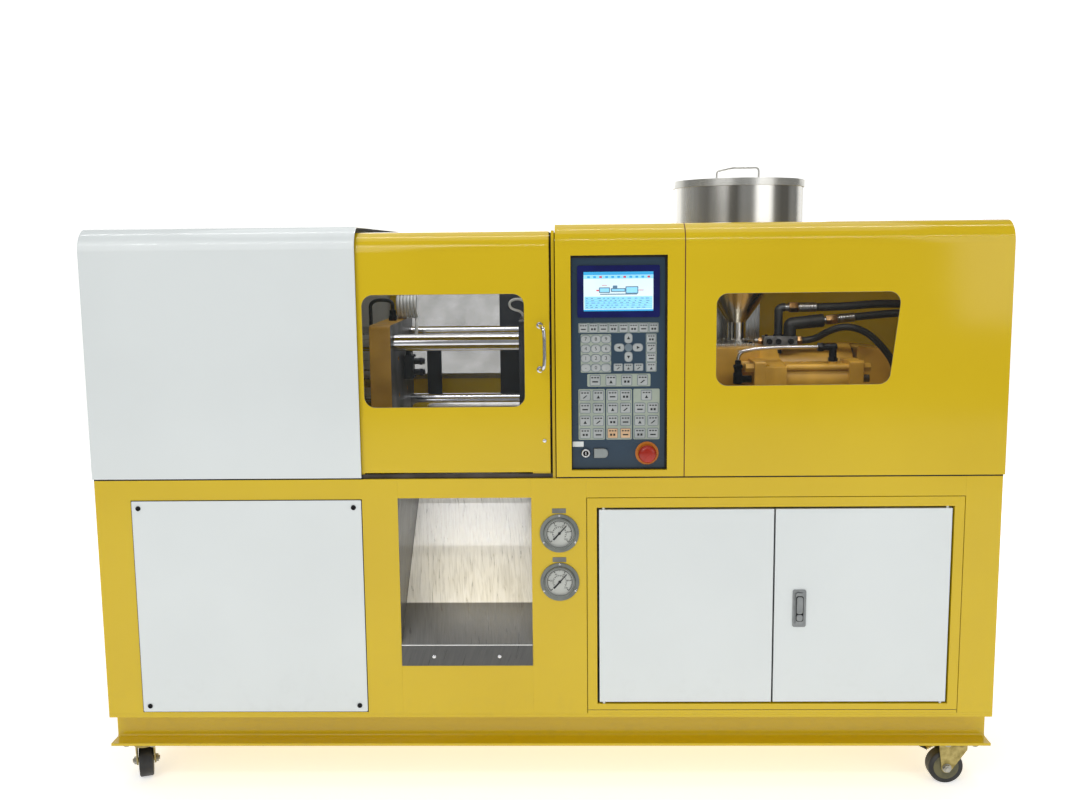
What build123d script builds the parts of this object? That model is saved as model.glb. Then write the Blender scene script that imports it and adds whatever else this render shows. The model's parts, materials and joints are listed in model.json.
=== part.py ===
"""Horizontal injection molding machine, millimetres.

X runs along the machine with the clamp end at -X. Y = 0 is the centreline and
the operator stands at -Y. Z = 0 is the floor.
"""
import math
import os

from build123d import *

# Overall sizes
machine_length = 2040.0
machine_depth = 700.0
caster_height = 108.0
channel_height = 76.0
cabinet_height = 556.0
seal_height = 4.0
hood_height = 560.0
hood_overhang = 5.0
end_overhang = 2.0

# Sheet and plate thicknesses
wall_sheet = 4.0
hood_sheet = 3.0
floor_plate_t = 4.0
bed_t = 25.0
door_sheet = 3.0
pane_t = 4.0
panel_sheet = 2.0

# Clearances
seam = 1.5
running_fit = 0.05
loose_fit = 0.5
seat_gap = 0.3

# Base channel
channel_flange = 48.0
channel_web_t = 5.0
channel_flange_t = 6.0

# Upper covers along X, from the control housing's left edge
housing_x0 = 28.0
housing_width = 283.5
post_gap = 2.0
post_width = 6.5
post_depth = 40.0
door_gap = 5.0
door_width = 459.5
door_overlap = 34.0
hood_bend = 50.0
hood_lip = 9.0

# Safety door
door_setback = 4.0
door_foot_gap = 14.0
door_height = 536.0
door_roof_depth = 156.0
door_bend = 45.0
door_lip = 15.0
door_window_left = 45.0
door_window_right = 55.5
door_window_sill = 148.0
door_window_height = 251.0
window_radius = 25.0
pane_border = 14.0
stile_depth = 20.0
rail_width = 12.0
rail_height = 10.0
rail_setback = 7.0
shoe_length = 40.0
shoe_height = 12.0
handle_inset = 21.5
handle_height = 231.0
handle_length = 98.0
handle_reach = 33.0
handle_rod_r = 5.0
handle_lean = 6.0
handle_foot = 8.0
handle_bend = 13.0

# Control panel recess, from the housing's left edge and foot
recess_left = 34.0
recess_right = 37.5
recess_foot = 15.0
recess_height = 476.0
recess_depth = 14.0
recess_lip_t = 2.0
panel_plate_t = 4.0

# Things on the control panel, as (x0, x1, z0, z1) from the recess's lower left corner
bezel_area = (14.5, 195.6, 340.0, 454.0)
screen_border = 13.0
screen_sink = 1.0
bezel_t = 4.0
function_keys = (16.5, 193.7, 306.0, 328.0)
number_keys = (21.4, 88.8, 218.0, 303.0)
row_keys = (93.0, 161.0, 220.0, 239.0)
side_keys = (165.5, 189.3, 219.0, 304.0)
wide_keys = (35.7, 175.9, 186.5, 214.8)
block_columns = ((15.8, 74.8), (77.5, 134.9), (137.8, 196.3))
block_rows = (67.0, 181.0)
arrow_centre = (127.2, 273.2)
arrow_ring_r = 22.0
arrow_key = (14.0, 18.0)
key_gap = 2.5
key_t = 2.5
socket_cover = (50.0, 81.0, 26.0, 47.0)
socket_cover_t = 4.0
switch_centre = (31.6, 36.8)
switch_r = 11.0
switch_t = 5.0
estop_centre = (168.4, 35.9)
estop_ring_r = 26.0
estop_ring_t = 2.0
estop_stem_r = 14.0
estop_stem_t = 10.0
estop_head_r = 20.0
estop_head_t = 12.0
estop_round = 5.0

# Injection cover window, corners from the cover's left edge and foot
window_corners = ((68.0, 202.5), (447.0, 204.0), (470.0, 407.0), (68.0, 406.0))
hopper_notch_clearance = 8.5

# Access panel, from the left end and the cabinet floor
access_left = 83.0
access_width = 523.0
access_foot = 5.0
access_head = 47.5
panel_corner = 3.0

# Chute, its steps as (back from the front face, share of the rise from the lip's top to the bed)
chute_x0 = -331.5
chute_width = 301.5
chute_head = 44.0
chute_lip_foot = 115.0
chute_lip_height = 52.0
lip_overlap = 10.0
chute_sheet = 1.7
chute_steps = ((90.0, 0.2), (330.0, 0.703), (500.0, 0.958))
drop_setback = 200.0

# Pressure gauges, beside the chute and under the bed
gauge_offset = 63.0
gauge_drop = 126.0
gauge_spacing = 113.0
gauge_flange_d = 88.0
gauge_flange_t = 3.0
gauge_dial_d = 63.0
gauge_dial_t = 2.0
gauge_bezel_w = 5.0
gauge_bezel_t = 7.0
gauge_bevel = 2.0
gauge_depth = 42.0

# Electric cabinet doors, from the right end, the gauges and the bed
frame_end_gap = 81.5
frame_gauge_gap = 62.5
frame_head = 46.0
frame_width = 22.0
frame_depth = 20.0
leaf_gap = 5.0
leaf_meeting_gap = 4.0
leaf_depth = 10.0
leaf_sheet = 2.0
hinge_inset = 10.0
hinge_pin_r = 3.0
hinge_pin_reach = 8.0
box_depth = 250.0
lock_offset = 43.0
lock_foot = 205.5
lock_width = 30.0
lock_height = 86.5
lock_plate_t = 2.5
lock_border = 6.0
lock_lever_t = 4.5
lock_corner = 4.0

# Clamp unit
bar_spacing_y = 290.0
bar_spacing_z = 180.0
bar_d = 40.0
clamp_axis_rise = 201.0
platen_half_y = 190.0
platen_half_z = 134.0
platen_corner = 12.0
fixed_platen_setback = 28.0
fixed_platen_t = 60.0
fixed_platen_rise = 10.0
mould_space = 303.0
moving_platen_t = 50.0
ram_space = 347.0
rear_platen_t = 50.0
nut_d = 66.0
nut_length = 22.0
bar_thread = 11.0
ram_d = 70.0
ram_end_gap = 10.0
cylinder_d = 160.0
cylinder_length = 190.0
cylinder_cap_t = 15.0
nozzle_bore_d = 60.0
ring_bore_d = 100.0
ring_bore_depth = 12.0
mould_bolt_d = 10.2
mould_bolt_depth = 24.0
mould_bolt_y = 140.0
mould_bolt_z = 90.0

# Fittings on the moving platen and the uprights behind the tie bars
manifold_y = (20.0, 60.0)
manifold_z = (-16.0, 44.0)
manifold_t = 22.0
manifold_port_r = 8.0
manifold_port_length = 16.0
manifold_ports = (-1.0, 27.0)
coil_x = (22.0, 83.0)
coil_y = 80.0
coil_r = 31.0
coil_tube_r = 4.0
upright_y = 205.0
upright_t = 6.0
left_upright = (36.0, 75.0, 280.0)
right_upright = (235.0, 300.0, 440.0)

# Injection unit, X from the injection housing's left face
unit_gap = 83.5
inj_rail_x = (-65.0, 520.0)
inj_rail_w = 30.0
inj_rail_h = 25.0
inj_rail_y = 100.0
base_x = (-15.0, 510.0)
base_half_y = 140.0
base_t = 25.0
inj_housing_length = 121.0
inj_housing_half_y = 120.0
inj_housing_height = 219.0
yoke_t = 49.0
yoke_half_y = 210.0
yoke_top_half_y = 70.0
yoke_wing = (-47.0, 30.0)
yoke_shoulder = 43.0
yoke_waist = -71.0
barrel_d = 76.0
nozzle_d = 36.0
nozzle_tip_r = 6.0
nozzle_tip_setback = 40.0
nozzle_length = 60.0
nozzle_taper = 12.0
barrel_taper = 20.0
band_t = 8.0
band_w = 45.0
band_count = 5
band_end_gap = 15.0
centre_cyl_d = 126.0
centre_cyl_length = 146.0
centre_cap_t = 45.0
centre_cap_lip = 6.0
centre_foot_half_y = 40.0
motor_gap = 10.0
motor_length = 109.0
motor_half_y = 60.0
motor_top = 65.0
motor_slope = ((69.0, 57.0), (109.0, 29.0))
motor_corner = 6.0

# Tie-rod cylinders beside the injection housing
side_cyl_y = 165.0
side_cyl_drop = 2.0
side_cyl_length = 178.0
side_front_t = 26.0
side_rear_t = 33.0
side_cyl_size = 90.0
side_head_corner = 5.0
side_cyl_tube_d = 72.0
side_rod_d = 16.0
side_rod_offset = 30.0
side_nut_margin = 3.0
side_front_nut = 20.0
side_rear_nut = 18.0
side_port_back = 62.0
side_port_r = 10.0
side_port_rise = 5.0

# Feed plate and hopper
feed_plate_t = 6.5
feed_plate_half_y = 75.0
feed_plate_x = (5.0, 117.0)
feed_upright_length = 148.0
feed_upright_t = 6.0
feed_upright_height = 116.0
hopper_offset = 83.0
hopper_d = 313.0
hopper_sheet = 2.0
neck_d = 47.0
neck_height = 48.5
cone_height = 186.0
hopper_shell_height = 158.0
lid_d = 320.0
lid_skirt = 15.0
lid_crown = 4.0
bail_x = (-53.0, 50.0)
bail_slope = 40.0
bail_rise = 33.0
bail_dip = 8.0
bail_bend = 8.0
bail_wire_r = 2.5

# Hydraulic fittings, X from the injection housing's left face and Z from the clamp axis
pipe_x = 182.5
pipe_y = -30.0
pipe_r = 11.5
pipe_boss_rise = 61.0
pipe_top = 166.0
pipe_port_rise = 160.0
pipe_coupling = ((14.5, 9.0, "round"), (24.0, 12.0, "hexagon"), (54.0, 10.5, "round"))
block_x = (139.0, 222.0)
block_y = (-70.0, -45.0)
block_height = 24.0
block_port = ((15.0, 8.0, "round"),)
block_plug = ((12.0, 8.0, "hexagon"), (10.0, 6.0, "round"))
boot_r = 15.5
boot_bend = 24.0
boot_points = ((205.0, -57.5, 92.0), (205.0, -57.5, 121.0), (287.0, -57.5, 129.0))
boot_coupling = ((3.0, 7.0, "round"), (34.0, 11.0, "hexagon"), (41.0, 9.0, "round"))
head_port = ((10.0, 12.0, "hexagon"), (15.0, 9.0, "round"))
oil_inlet_r = 8.0
oil_inlet_length = 32.0
oil_body_r = 11.0
oil_elbow_length = 45.0
oil_elbow_r = 9.0
valve_x = (530.0, 605.0)
valve_y = (-110.0, 30.0)
valve_height = 120.0
hose_port = (457.0, -110.0)
hose_port_height = 10.0
hose_port_r = 11.0

# Hoses and pipes, as chosen points in the same measure
bend_share = 0.45
hose_r = 10.0
return_hose_r = 9.5
base_hose_r = 8.5
oil_pipe_r = 4.0
loop_tube_r = 3.0
platen_hose_r = 7.0
oil_pipe_points = ((63.0, -165.0, 42.0), (63.0, -165.0, 60.0), (100.0, -165.0, 68.0),
                   (150.0, -165.0, 73.0), (250.0, -165.0, 73.0))
pressure_hose_points = ((340.0, -30.0, 160.0), (425.0, -30.0, 166.0), (520.0, -32.0, 162.0),
                        (573.0, -36.0, 99.0), (580.0, -40.0, -11.0), (580.0, -40.0, -81.0))
return_hose_points = ((485.0, -66.0, 143.0), (535.0, -76.0, 99.0), (550.0, -85.0, 19.0), (550.0, -85.0, -81.0))
base_hose_points = ((263.0, -57.5, 80.0), (293.0, -85.0, 105.0), (330.0, -106.0, 115.0),
                    (377.0, -110.0, 101.0), (417.0, -110.0, 65.0), (447.0, -110.0, 24.0),
                    (457.0, -110.0, -45.0), (457.0, -110.0, -141.0))
return_lead = 65.0
loop_tube_y = -100.0
loop_tube_points = ((8.0, 0.0), (8.0, 10.0), (-24.0, 22.0), (-24.0, 42.0), (2.0, 46.0), (22.0, 28.0),
                    (22.0, 0.0))
platen_hose_points = ((28.0, 0.0), (28.0, 50.0), (-28.0, 50.0), (-28.0, -35.0), (0.0, -35.0))

# Casters
caster_inset_x = 60.0
caster_inset_y = 50.0
caster_plate = 84.0
caster_plate_t = 4.0
caster_plate_corner = 8.0
race_h = 9.0
race_d = 52.0
wheel_d = 80.0
wheel_w = 32.0
wheel_round = 4.0
caster_trail = 28.0
fork_t = 3.0
fork_gap = 2.5
fork_lead = 18.0
fork_shoulder = 10.0
axle_d = 12.0
axle_boss_r = 12.0
lever_reach = 44.0
lever_tread = 18.0
lever_drop = 16.0
lever_t = 4.0

# Levels and faces that follow from the sizes above
half_l = machine_length / 2
half_d = machine_depth / 2
floor_z = caster_height + channel_height
wall_z = floor_z + floor_plate_t
bed_z = floor_z + cabinet_height
bed_bottom = bed_z - bed_t
hood_z = bed_z + seal_height
hood_top = hood_z + hood_height
hood_half = half_d + hood_overhang
hood_end = half_l + end_overhang
inner_half_l = half_l - wall_sheet
inner_half_d = half_d - wall_sheet
housing_x1 = housing_x0 + housing_width
cover_x0 = housing_x1 + seam
post_x0 = housing_x0 - post_gap - post_width
door_x1 = post_x0 - door_gap
door_x0 = door_x1 - door_width
clamp_cover_end = door_x0 + door_overlap
door_face = half_d - door_setback
door_z0 = bed_z + door_foot_gap
door_top = door_z0 + door_height
clamp_axis_z = bed_z + clamp_axis_rise
side_cyl_z = clamp_axis_z - side_cyl_drop
platen_top = clamp_axis_z + platen_half_z
caster_x = half_l - caster_inset_x
caster_y = half_d - caster_inset_y
swivel_z = caster_height - caster_plate_t
axle_z = wheel_d / 2
fork_top = swivel_z - race_h - seat_gap

os.makedirs("parts", exist_ok=True)


def front_plane(y):
    """Give the upright plane at this Y, seen from the operator's side."""
    return Plane.XZ.offset(-y)


def slab(x, y, z, mode=Mode.ADD):
    """Make a plate or bar between two values on each axis."""
    with BuildSketch(Plane.XY.offset(z[0])) as outline:
        with Locations(((x[0] + x[1]) / 2, (y[0] + y[1]) / 2)):
            Rectangle(x[1] - x[0], y[1] - y[0])
    extrude(outline.sketch, amount=z[1] - z[0], mode=mode)


def front_plate(rect, y, thickness, radius=0.0, mode=Mode.ADD):
    """Make an upright plate from (x0, x1, z0, z1), going back from Y = y."""
    x0, x1, z0, z1 = rect
    with BuildSketch(front_plane(y)) as outline:
        with Locations(((x0 + x1) / 2, (z0 + z1) / 2)):
            if radius > 0:
                RectangleRounded(x1 - x0, z1 - z0, radius)
            else:
                Rectangle(x1 - x0, z1 - z0)
    extrude(outline.sketch, amount=-thickness, mode=mode)


def inset(rect, border):
    """Shrink an (x0, x1, z0, z1) rectangle by a border, or grow it if negative."""
    return (rect[0] + border, rect[1] - border, rect[2] + border, rect[3] - border)


def mirrored_pair(low, high):
    """Give the two spans low to high and -high to -low."""
    return ((low, high), (-high, -low))


def save(builder, name):
    """Label a finished piece and write its file."""
    builder.part.label = name
    export_step(builder.part, f"parts/{name}.step")


# Base channels, flanges outward, mitred at the corners
def mitre(long_side):
    """Give the plan outline that trims a channel to its mitred ends."""
    x, y = half_l, half_d
    d = channel_flange
    if long_side:
        return [(-x, -y), (x, -y), (x - d, -y + d), (-x + d, -y + d)]
    return [(-x, -y), (-x + d, -y + d), (-x + d, y - d), (-x, y)]


def channel_outline(reach):
    """Draw the channel section with its web inside, seen along the channel."""
    t = channel_flange_t
    z0, z1 = caster_height, floor_z
    web = reach - channel_flange
    Polyline((-reach, z0), (-web, z0), (-web, z1), (-reach, z1), (-reach, z1 - t),
             (-web - channel_web_t, z1 - t), (-web - channel_web_t, z0 + t), (-reach, z0 + t), close=True)


with BuildPart() as base_channels_long:
    with BuildSketch(Plane.YZ.offset(-half_l)):
        with BuildLine():
            channel_outline(half_d)
        make_face()
    extrude(amount=machine_length)
    with BuildSketch(Plane.XY.offset(caster_height)):
        with BuildLine():
            Polyline(*mitre(True), close=True)
        make_face()
    extrude(amount=channel_height, mode=Mode.INTERSECT)
    mirror(about=Plane.XZ)
save(base_channels_long, "base_channels_long")

with BuildPart() as base_channels_end:
    with BuildSketch(Plane.XZ.offset(-half_d)):
        with BuildLine():
            channel_outline(half_l)
        make_face()
    extrude(amount=machine_depth)
    with BuildSketch(Plane.XY.offset(caster_height)):
        with BuildLine():
            Polyline(*mitre(False), close=True)
        make_face()
    extrude(amount=channel_height, mode=Mode.INTERSECT)
    mirror(about=Plane.YZ)
save(base_channels_end, "base_channels_end")

# Cabinet floor
with BuildPart() as cabinet_floor:
    slab((-half_l, half_l), (-half_d, half_d), (floor_z, wall_z))
save(cabinet_floor, "cabinet_floor")

# Machine bed with the drop opening over the chute
chute_x1 = chute_x0 + chute_width
chute_back = -half_d + chute_steps[-1][0]
with BuildPart() as machine_bed:
    slab((-inner_half_l, inner_half_l), (-inner_half_d, inner_half_d), (bed_bottom, bed_z))
    slab((chute_x0, chute_x1), (-half_d + drop_setback, chute_back), (bed_bottom, bed_z), Mode.SUBTRACT)
save(machine_bed, "machine_bed")

# Front wall in pieces beside its openings, and the rails under and over them
gauge_x = chute_x1 + gauge_offset
frame_x1 = half_l - frame_end_gap
frame_x0 = gauge_x + frame_gauge_gap
frame_z0 = wall_z
frame_z1 = bed_z - frame_head
frame_outer = (frame_x0, frame_x1, frame_z0, frame_z1)
chute_lip_z0 = wall_z + chute_lip_foot
chute_lip_z1 = chute_lip_z0 + chute_lip_height
chute_sill = chute_lip_z1 - lip_overlap
gauge_heights = (bed_z - gauge_drop, bed_z - gauge_drop - gauge_spacing)
with BuildPart() as front_walls:
    front_plate((-half_l, chute_x0, wall_z, bed_z), -half_d, wall_sheet)
    front_plate((chute_x1, frame_x0 - seam, wall_z, bed_z), -half_d, wall_sheet)
    front_plate((frame_x1 + seam, half_l, wall_z, bed_z), -half_d, wall_sheet)
    with BuildSketch(front_plane(-half_d)):
        with Locations(*[(gauge_x, z) for z in gauge_heights]):
            Circle(gauge_dial_d / 2 + loose_fit)
    extrude(amount=-wall_sheet, mode=Mode.SUBTRACT)
save(front_walls, "front_walls")

with BuildPart() as front_rails:
    front_plate((chute_x0, chute_x1, wall_z, chute_sill), -half_d, wall_sheet)
    front_plate((chute_x0, chute_x1, bed_z - chute_head, bed_z), -half_d, wall_sheet)
    front_plate((frame_x0 - seam, frame_x1 + seam, frame_z1 + seam, bed_z), -half_d, wall_sheet)
save(front_rails, "front_rails")

# End and rear walls, one sheet folded round three sides
with BuildPart() as cabinet_walls:
    slab((-half_l, half_l), (-inner_half_d, half_d), (wall_z, bed_z))
    slab((-inner_half_l, inner_half_l), (-inner_half_d, inner_half_d), (wall_z, bed_z), Mode.SUBTRACT)
save(cabinet_walls, "cabinet_walls")

# Screwed white access panels, one in front and three behind
access_x0 = -half_l + access_left
access_z0 = wall_z + access_foot
access_z1 = bed_z - access_head
with BuildPart() as access_panels:
    front_plate((access_x0, access_x0 + access_width, access_z0, access_z1), -half_d - panel_sheet,
                panel_sheet, radius=panel_corner)
    for x0 in (access_x0, -access_width / 2, -access_x0 - access_width):
        front_plate((x0, x0 + access_width, access_z0, access_z1), half_d, panel_sheet, radius=panel_corner)
save(access_panels, "access_panels")

# Stainless chute, a bent floor between two side plates with a lip over the sill
chute_rise = bed_bottom - chute_lip_z1
chute_points = [(-half_d + back, chute_lip_z1 + share * chute_rise) for back, share in chute_steps]
with BuildPart() as chute:
    front = -half_d - chute_sheet
    with BuildSketch(Plane.YZ.offset(chute_x0 + seat_gap)):
        with BuildLine():
            Polyline((front, chute_lip_z0), (front, chute_lip_z1), *chute_points, (chute_back, bed_bottom))
            offset(amount=chute_sheet, side=Side.RIGHT)
        make_face()
    extrude(amount=chute_width - 2 * seat_gap)
    side_front = -inner_half_d + seat_gap
    side_foot = [(y, z - lip_overlap) for y, z in chute_points]
    for x in (chute_x0 - chute_sheet, chute_x1 - seat_gap):
        with BuildSketch(Plane.YZ.offset(x)):
            with BuildLine():
                Polyline((side_front, chute_sill), *side_foot, (chute_back + chute_sheet, bed_bottom),
                         (side_front, bed_bottom), close=True)
            make_face()
        extrude(amount=chute_sheet + seat_gap)
save(chute, "chute")


# Pressure gauges
def gauge(z):
    """Revolve one flanged panel gauge about its own axis."""
    dial_r = gauge_dial_d / 2
    bezel_r = dial_r + gauge_bezel_w
    face = -half_d
    with BuildSketch(Plane.XY.offset(z)) as half_section:
        with BuildLine():
            Polyline((gauge_x, face - gauge_dial_t), (gauge_x + dial_r, face - gauge_dial_t),
                     (gauge_x + dial_r, face - gauge_bezel_t),
                     (gauge_x + bezel_r - gauge_bevel, face - gauge_bezel_t),
                     (gauge_x + bezel_r, face - gauge_flange_t),
                     (gauge_x + gauge_flange_d / 2, face - gauge_flange_t),
                     (gauge_x + gauge_flange_d / 2, face), (gauge_x + dial_r, face),
                     (gauge_x + dial_r, face + gauge_depth), (gauge_x, face + gauge_depth), close=True)
        make_face()
    revolve(half_section.sketch, axis=Axis((gauge_x, 0, z), (0, 1, 0)))


with BuildPart() as pressure_gauges:
    for height in gauge_heights:
        gauge(height)
save(pressure_gauges, "pressure_gauges")

# Door frame of the electric cabinet with the four hinge pin holes
frame_inner = inset(frame_outer, frame_width)
leaf_outer = inset(frame_inner, leaf_gap)
leaf_split = (frame_x0 + frame_x1) / 2
leaf_left = (leaf_outer[0], leaf_split - leaf_meeting_gap / 2, leaf_outer[2], leaf_outer[3])
leaf_right = (leaf_split + leaf_meeting_gap / 2, leaf_outer[1], leaf_outer[2], leaf_outer[3])
hinge_y = -half_d + leaf_depth / 2
hinge_left_x = leaf_left[0] + hinge_inset
hinge_right_x = leaf_right[1] - hinge_inset
with BuildPart() as door_frame:
    front_plate(frame_outer, -half_d, frame_depth)
    front_plate(frame_inner, -half_d, frame_depth, mode=Mode.SUBTRACT)
    with BuildSketch(Plane.XY.offset(leaf_outer[2] - hinge_pin_reach)):
        with Locations((hinge_left_x, hinge_y), (hinge_right_x, hinge_y)):
            Circle(hinge_pin_r + running_fit)
    extrude(amount=leaf_outer[3] - leaf_outer[2] + 2 * hinge_pin_reach, mode=Mode.SUBTRACT)
save(door_frame, "door_frame")

# Electric cabinet box behind the doors, open to the front
with BuildPart() as electric_cabinet_box:
    box_front = -half_d + frame_depth
    front_plate(inset(frame_inner, -panel_sheet), box_front, box_depth)
    front_plate(frame_inner, box_front, box_depth - panel_sheet, mode=Mode.SUBTRACT)
save(electric_cabinet_box, "electric_cabinet_box")


# Cabinet doors, folded pans with a solid hinge stile and two pins
def cabinet_door(rect, hinge_x):
    """Make one door leaf with its pins at hinge_x."""
    front_plate(rect, -half_d, leaf_depth)
    stile = 2 * hinge_inset
    hollow_x0 = rect[0] + (stile if hinge_x < leaf_split else leaf_sheet)
    hollow_x1 = rect[1] - (stile if hinge_x > leaf_split else leaf_sheet)
    hollow = (hollow_x0, hollow_x1, rect[2] + leaf_sheet, rect[3] - leaf_sheet)
    front_plate(hollow, -half_d + leaf_sheet, leaf_depth - leaf_sheet, mode=Mode.SUBTRACT)
    with BuildSketch(Plane.XY.offset(rect[2] - hinge_pin_reach)) as pin:
        with Locations((hinge_x, hinge_y)):
            Circle(hinge_pin_r)
    extrude(pin.sketch, amount=rect[3] - rect[2] + 2 * hinge_pin_reach)


with BuildPart() as cabinet_door_left:
    cabinet_door(leaf_left, hinge_left_x)
save(cabinet_door_left, "cabinet_door_left")

with BuildPart() as cabinet_door_right:
    cabinet_door(leaf_right, hinge_right_x)
save(cabinet_door_right, "cabinet_door_right")

lock_x0 = leaf_split + lock_offset
lock_z0 = frame_z0 + lock_foot
lock_plate = (lock_x0, lock_x0 + lock_width, lock_z0, lock_z0 + lock_height)
with BuildPart() as door_lock:
    front_plate(lock_plate, -half_d - lock_plate_t, lock_plate_t, radius=lock_corner)
    front_plate(inset(lock_plate, lock_border), -half_d - lock_plate_t - lock_lever_t, lock_lever_t,
                radius=lock_corner)
save(door_lock, "door_lock")

# Seal strips between the walls and the upper covers
with BuildPart() as seal_strips:
    strip = (bed_z, hood_z)
    for x in ((-half_l, clamp_cover_end), (housing_x0, half_l)):
        for y in mirrored_pair(inner_half_d, half_d):
            slab(x, y, strip)
    for x in mirrored_pair(inner_half_l, half_l):
        slab(x, (-inner_half_d, inner_half_d), strip)
save(seal_strips, "seal_strips")


# Upper covers, arched sheet hoods over the whole depth
def arch(x0, x1, shrink, mode=Mode.ADD):
    """Extrude the arched outline from x0 to x1, shrunk by a thickness."""
    half = hood_half - shrink
    top = hood_top - shrink
    with BuildSketch(Plane.YZ.offset(x0)) as outline:
        with Locations((0, (hood_z + top) / 2)):
            Rectangle(2 * half, top - hood_z)
        fillet(outline.vertices().group_by(Axis.Y)[-1], hood_bend - shrink)
    extrude(outline.sketch, amount=x1 - x0, mode=mode)


def hood(x0, x1, left_end, right_end):
    """Make a hollow hood with bottom lips and, where asked, closed ends."""
    arch(x0, x1, 0)
    in0 = x0 + (hood_sheet if left_end else 0)
    in1 = x1 - (hood_sheet if right_end else 0)
    arch(in0, in1, hood_sheet, Mode.SUBTRACT)
    for y in mirrored_pair(hood_half - hood_lip, hood_half - hood_sheet):
        slab((in0, in1), y, (hood_z, hood_z + hood_sheet))


with BuildPart() as clamp_cover:
    hood(-hood_end, clamp_cover_end, True, False)
save(clamp_cover, "clamp_cover")

# Control housing with its panel recess, and the posts at the doors' closing edge
recess = (housing_x0 + recess_left, housing_x1 - recess_right, hood_z + recess_foot,
          hood_z + recess_foot + recess_height)
with BuildPart() as control_housing:
    hood(housing_x0, housing_x1, False, False)
    front_plate(inset(recess, -recess_lip_t), -hood_half, recess_depth)
    front_plate(recess, -hood_half, recess_depth, mode=Mode.SUBTRACT)
    for y in mirrored_pair(inner_half_d - post_depth, inner_half_d):
        slab((post_x0, post_x0 + post_width), y, (bed_z, door_top))
save(control_housing, "control_housing")

window_outline = [(cover_x0 + x, hood_z + z) for x, z in window_corners]
hopper_x = housing_x1 + unit_gap + hopper_offset
with BuildPart() as injection_cover:
    notch_r = hopper_d / 2 + hopper_notch_clearance
    hood(cover_x0, hood_end, False, True)
    with BuildSketch(front_plane(-hood_half)):
        with BuildLine():
            Polyline(*window_outline, close=True)
        window_face = make_face()
        fillet(window_face.vertices(), window_radius)
    extrude(amount=-hood_sheet, mode=Mode.SUBTRACT)
    with BuildSketch(Plane.XY.offset(hood_top - hood_bend)):
        with Locations((hopper_x, 0)):
            Circle(notch_r)
        with Locations(((cover_x0 + hopper_x) / 2, 0)):
            Rectangle(hopper_x - cover_x0, 2 * notch_r)
    extrude(amount=hood_bend, mode=Mode.SUBTRACT)
save(injection_cover, "injection_cover")

# Pane behind the injection cover's window
with BuildPart() as cover_window:
    with BuildSketch(front_plane(-hood_half + hood_sheet)):
        with BuildLine():
            Polyline(*window_outline, close=True)
        make_face()
        offset(amount=pane_border, kind=Kind.ARC)
    extrude(amount=-pane_t)
save(cover_window, "cover_window")

# Sliding safety doors
window_x0 = door_x0 + door_window_left
window_z0 = door_z0 + door_window_sill
door_window = (window_x0, door_x1 - door_window_right, window_z0, window_z0 + door_window_height)


def safety_door_sheet():
    """Make the arched door sheet with its window, edge stile and running shoes."""
    y0 = -door_face
    roof_y = y0 + door_roof_depth
    with BuildSketch(Plane.YZ.offset(door_x0)) as section_outline:
        with BuildLine():
            FilletPolyline((y0, door_z0), (y0, door_top), (roof_y, door_top), (roof_y, door_top - door_lip),
                           radius=(door_bend, door_sheet * 2))
            offset(amount=door_sheet, side=Side.RIGHT)
        make_face()
    extrude(section_outline.sketch, amount=door_x1 - door_x0)
    front_plate(door_window, y0, door_sheet, radius=window_radius, mode=Mode.SUBTRACT)
    slab((door_x1 - door_sheet, door_x1), (y0, y0 + stile_depth), (door_z0, door_top - door_bend))
    for x in (door_x0, door_x1 - shoe_length):
        slab((x, x + shoe_length), (y0 + door_sheet, -half_d + rail_setback + rail_width),
             (bed_z + rail_height + seat_gap, door_z0 + shoe_height))


def safety_door_handle():
    """Sweep the chrome pull along its path, square to the sheet at both feet."""
    y0 = -door_face
    x = door_x1 - handle_inset
    z0 = door_z0 + handle_height
    z1 = z0 + handle_length
    knee = y0 - handle_foot
    grip_x = x + handle_lean
    grip_y = y0 - handle_reach
    with BuildLine() as pull:
        FilletPolyline((x, y0, z0), (x, knee, z0), (grip_x, grip_y, z0), (grip_x, grip_y, z1), (x, knee, z1),
                       (x, y0, z1), radius=handle_bend)
    with BuildSketch(front_plane(y0)) as rod:
        with Locations((x, z0)):
            Circle(handle_rod_r)
    sweep(rod.sketch, path=pull.line)


with BuildPart() as safety_door_front:
    safety_door_sheet()
save(safety_door_front, "safety_door_front")

with BuildPart() as door_window_front:
    front_plate(inset(door_window, -pane_border), -door_face + door_sheet, pane_t, radius=window_radius)
save(door_window_front, "door_window_front")

with BuildPart() as door_handle_front:
    safety_door_handle()
save(door_handle_front, "door_handle_front")

with BuildPart() as safety_door_rear:
    mirror(safety_door_front.part, about=Plane.XZ)
save(safety_door_rear, "safety_door_rear")

with BuildPart() as door_window_rear:
    mirror(door_window_front.part, about=Plane.XZ)
save(door_window_rear, "door_window_rear")

with BuildPart() as door_handle_rear:
    mirror(door_handle_front.part, about=Plane.XZ)
save(door_handle_rear, "door_handle_rear")

# Guide rails of the doors on the bed
with BuildPart() as door_rails:
    rail_y = half_d - rail_setback
    for y in mirrored_pair(rail_y - rail_width, rail_y):
        slab((-half_l + rail_setback, post_x0), y, (bed_z, bed_z + rail_height))
save(door_rails, "door_rails")

# Control panel in its recess, with the key switch and the socket cover
panel_face = -hood_half + recess_depth


def on_panel(x, z):
    """Turn a place measured from the recess's lower left corner into X and Z."""
    return (recess[0] + x, recess[2] + z)


def panel_area(area):
    """Turn an (x0, x1, z0, z1) area measured from the recess's corner into X and Z."""
    return (recess[0] + area[0], recess[0] + area[1], recess[2] + area[2], recess[2] + area[3])


def panel_disc(centre, y, radius, thickness):
    """Make a disc on the panel that stands out from Y = y towards the operator."""
    with BuildSketch(front_plane(y)) as disc:
        with Locations(on_panel(*centre)):
            Circle(radius)
    extrude(disc.sketch, amount=thickness)


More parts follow.
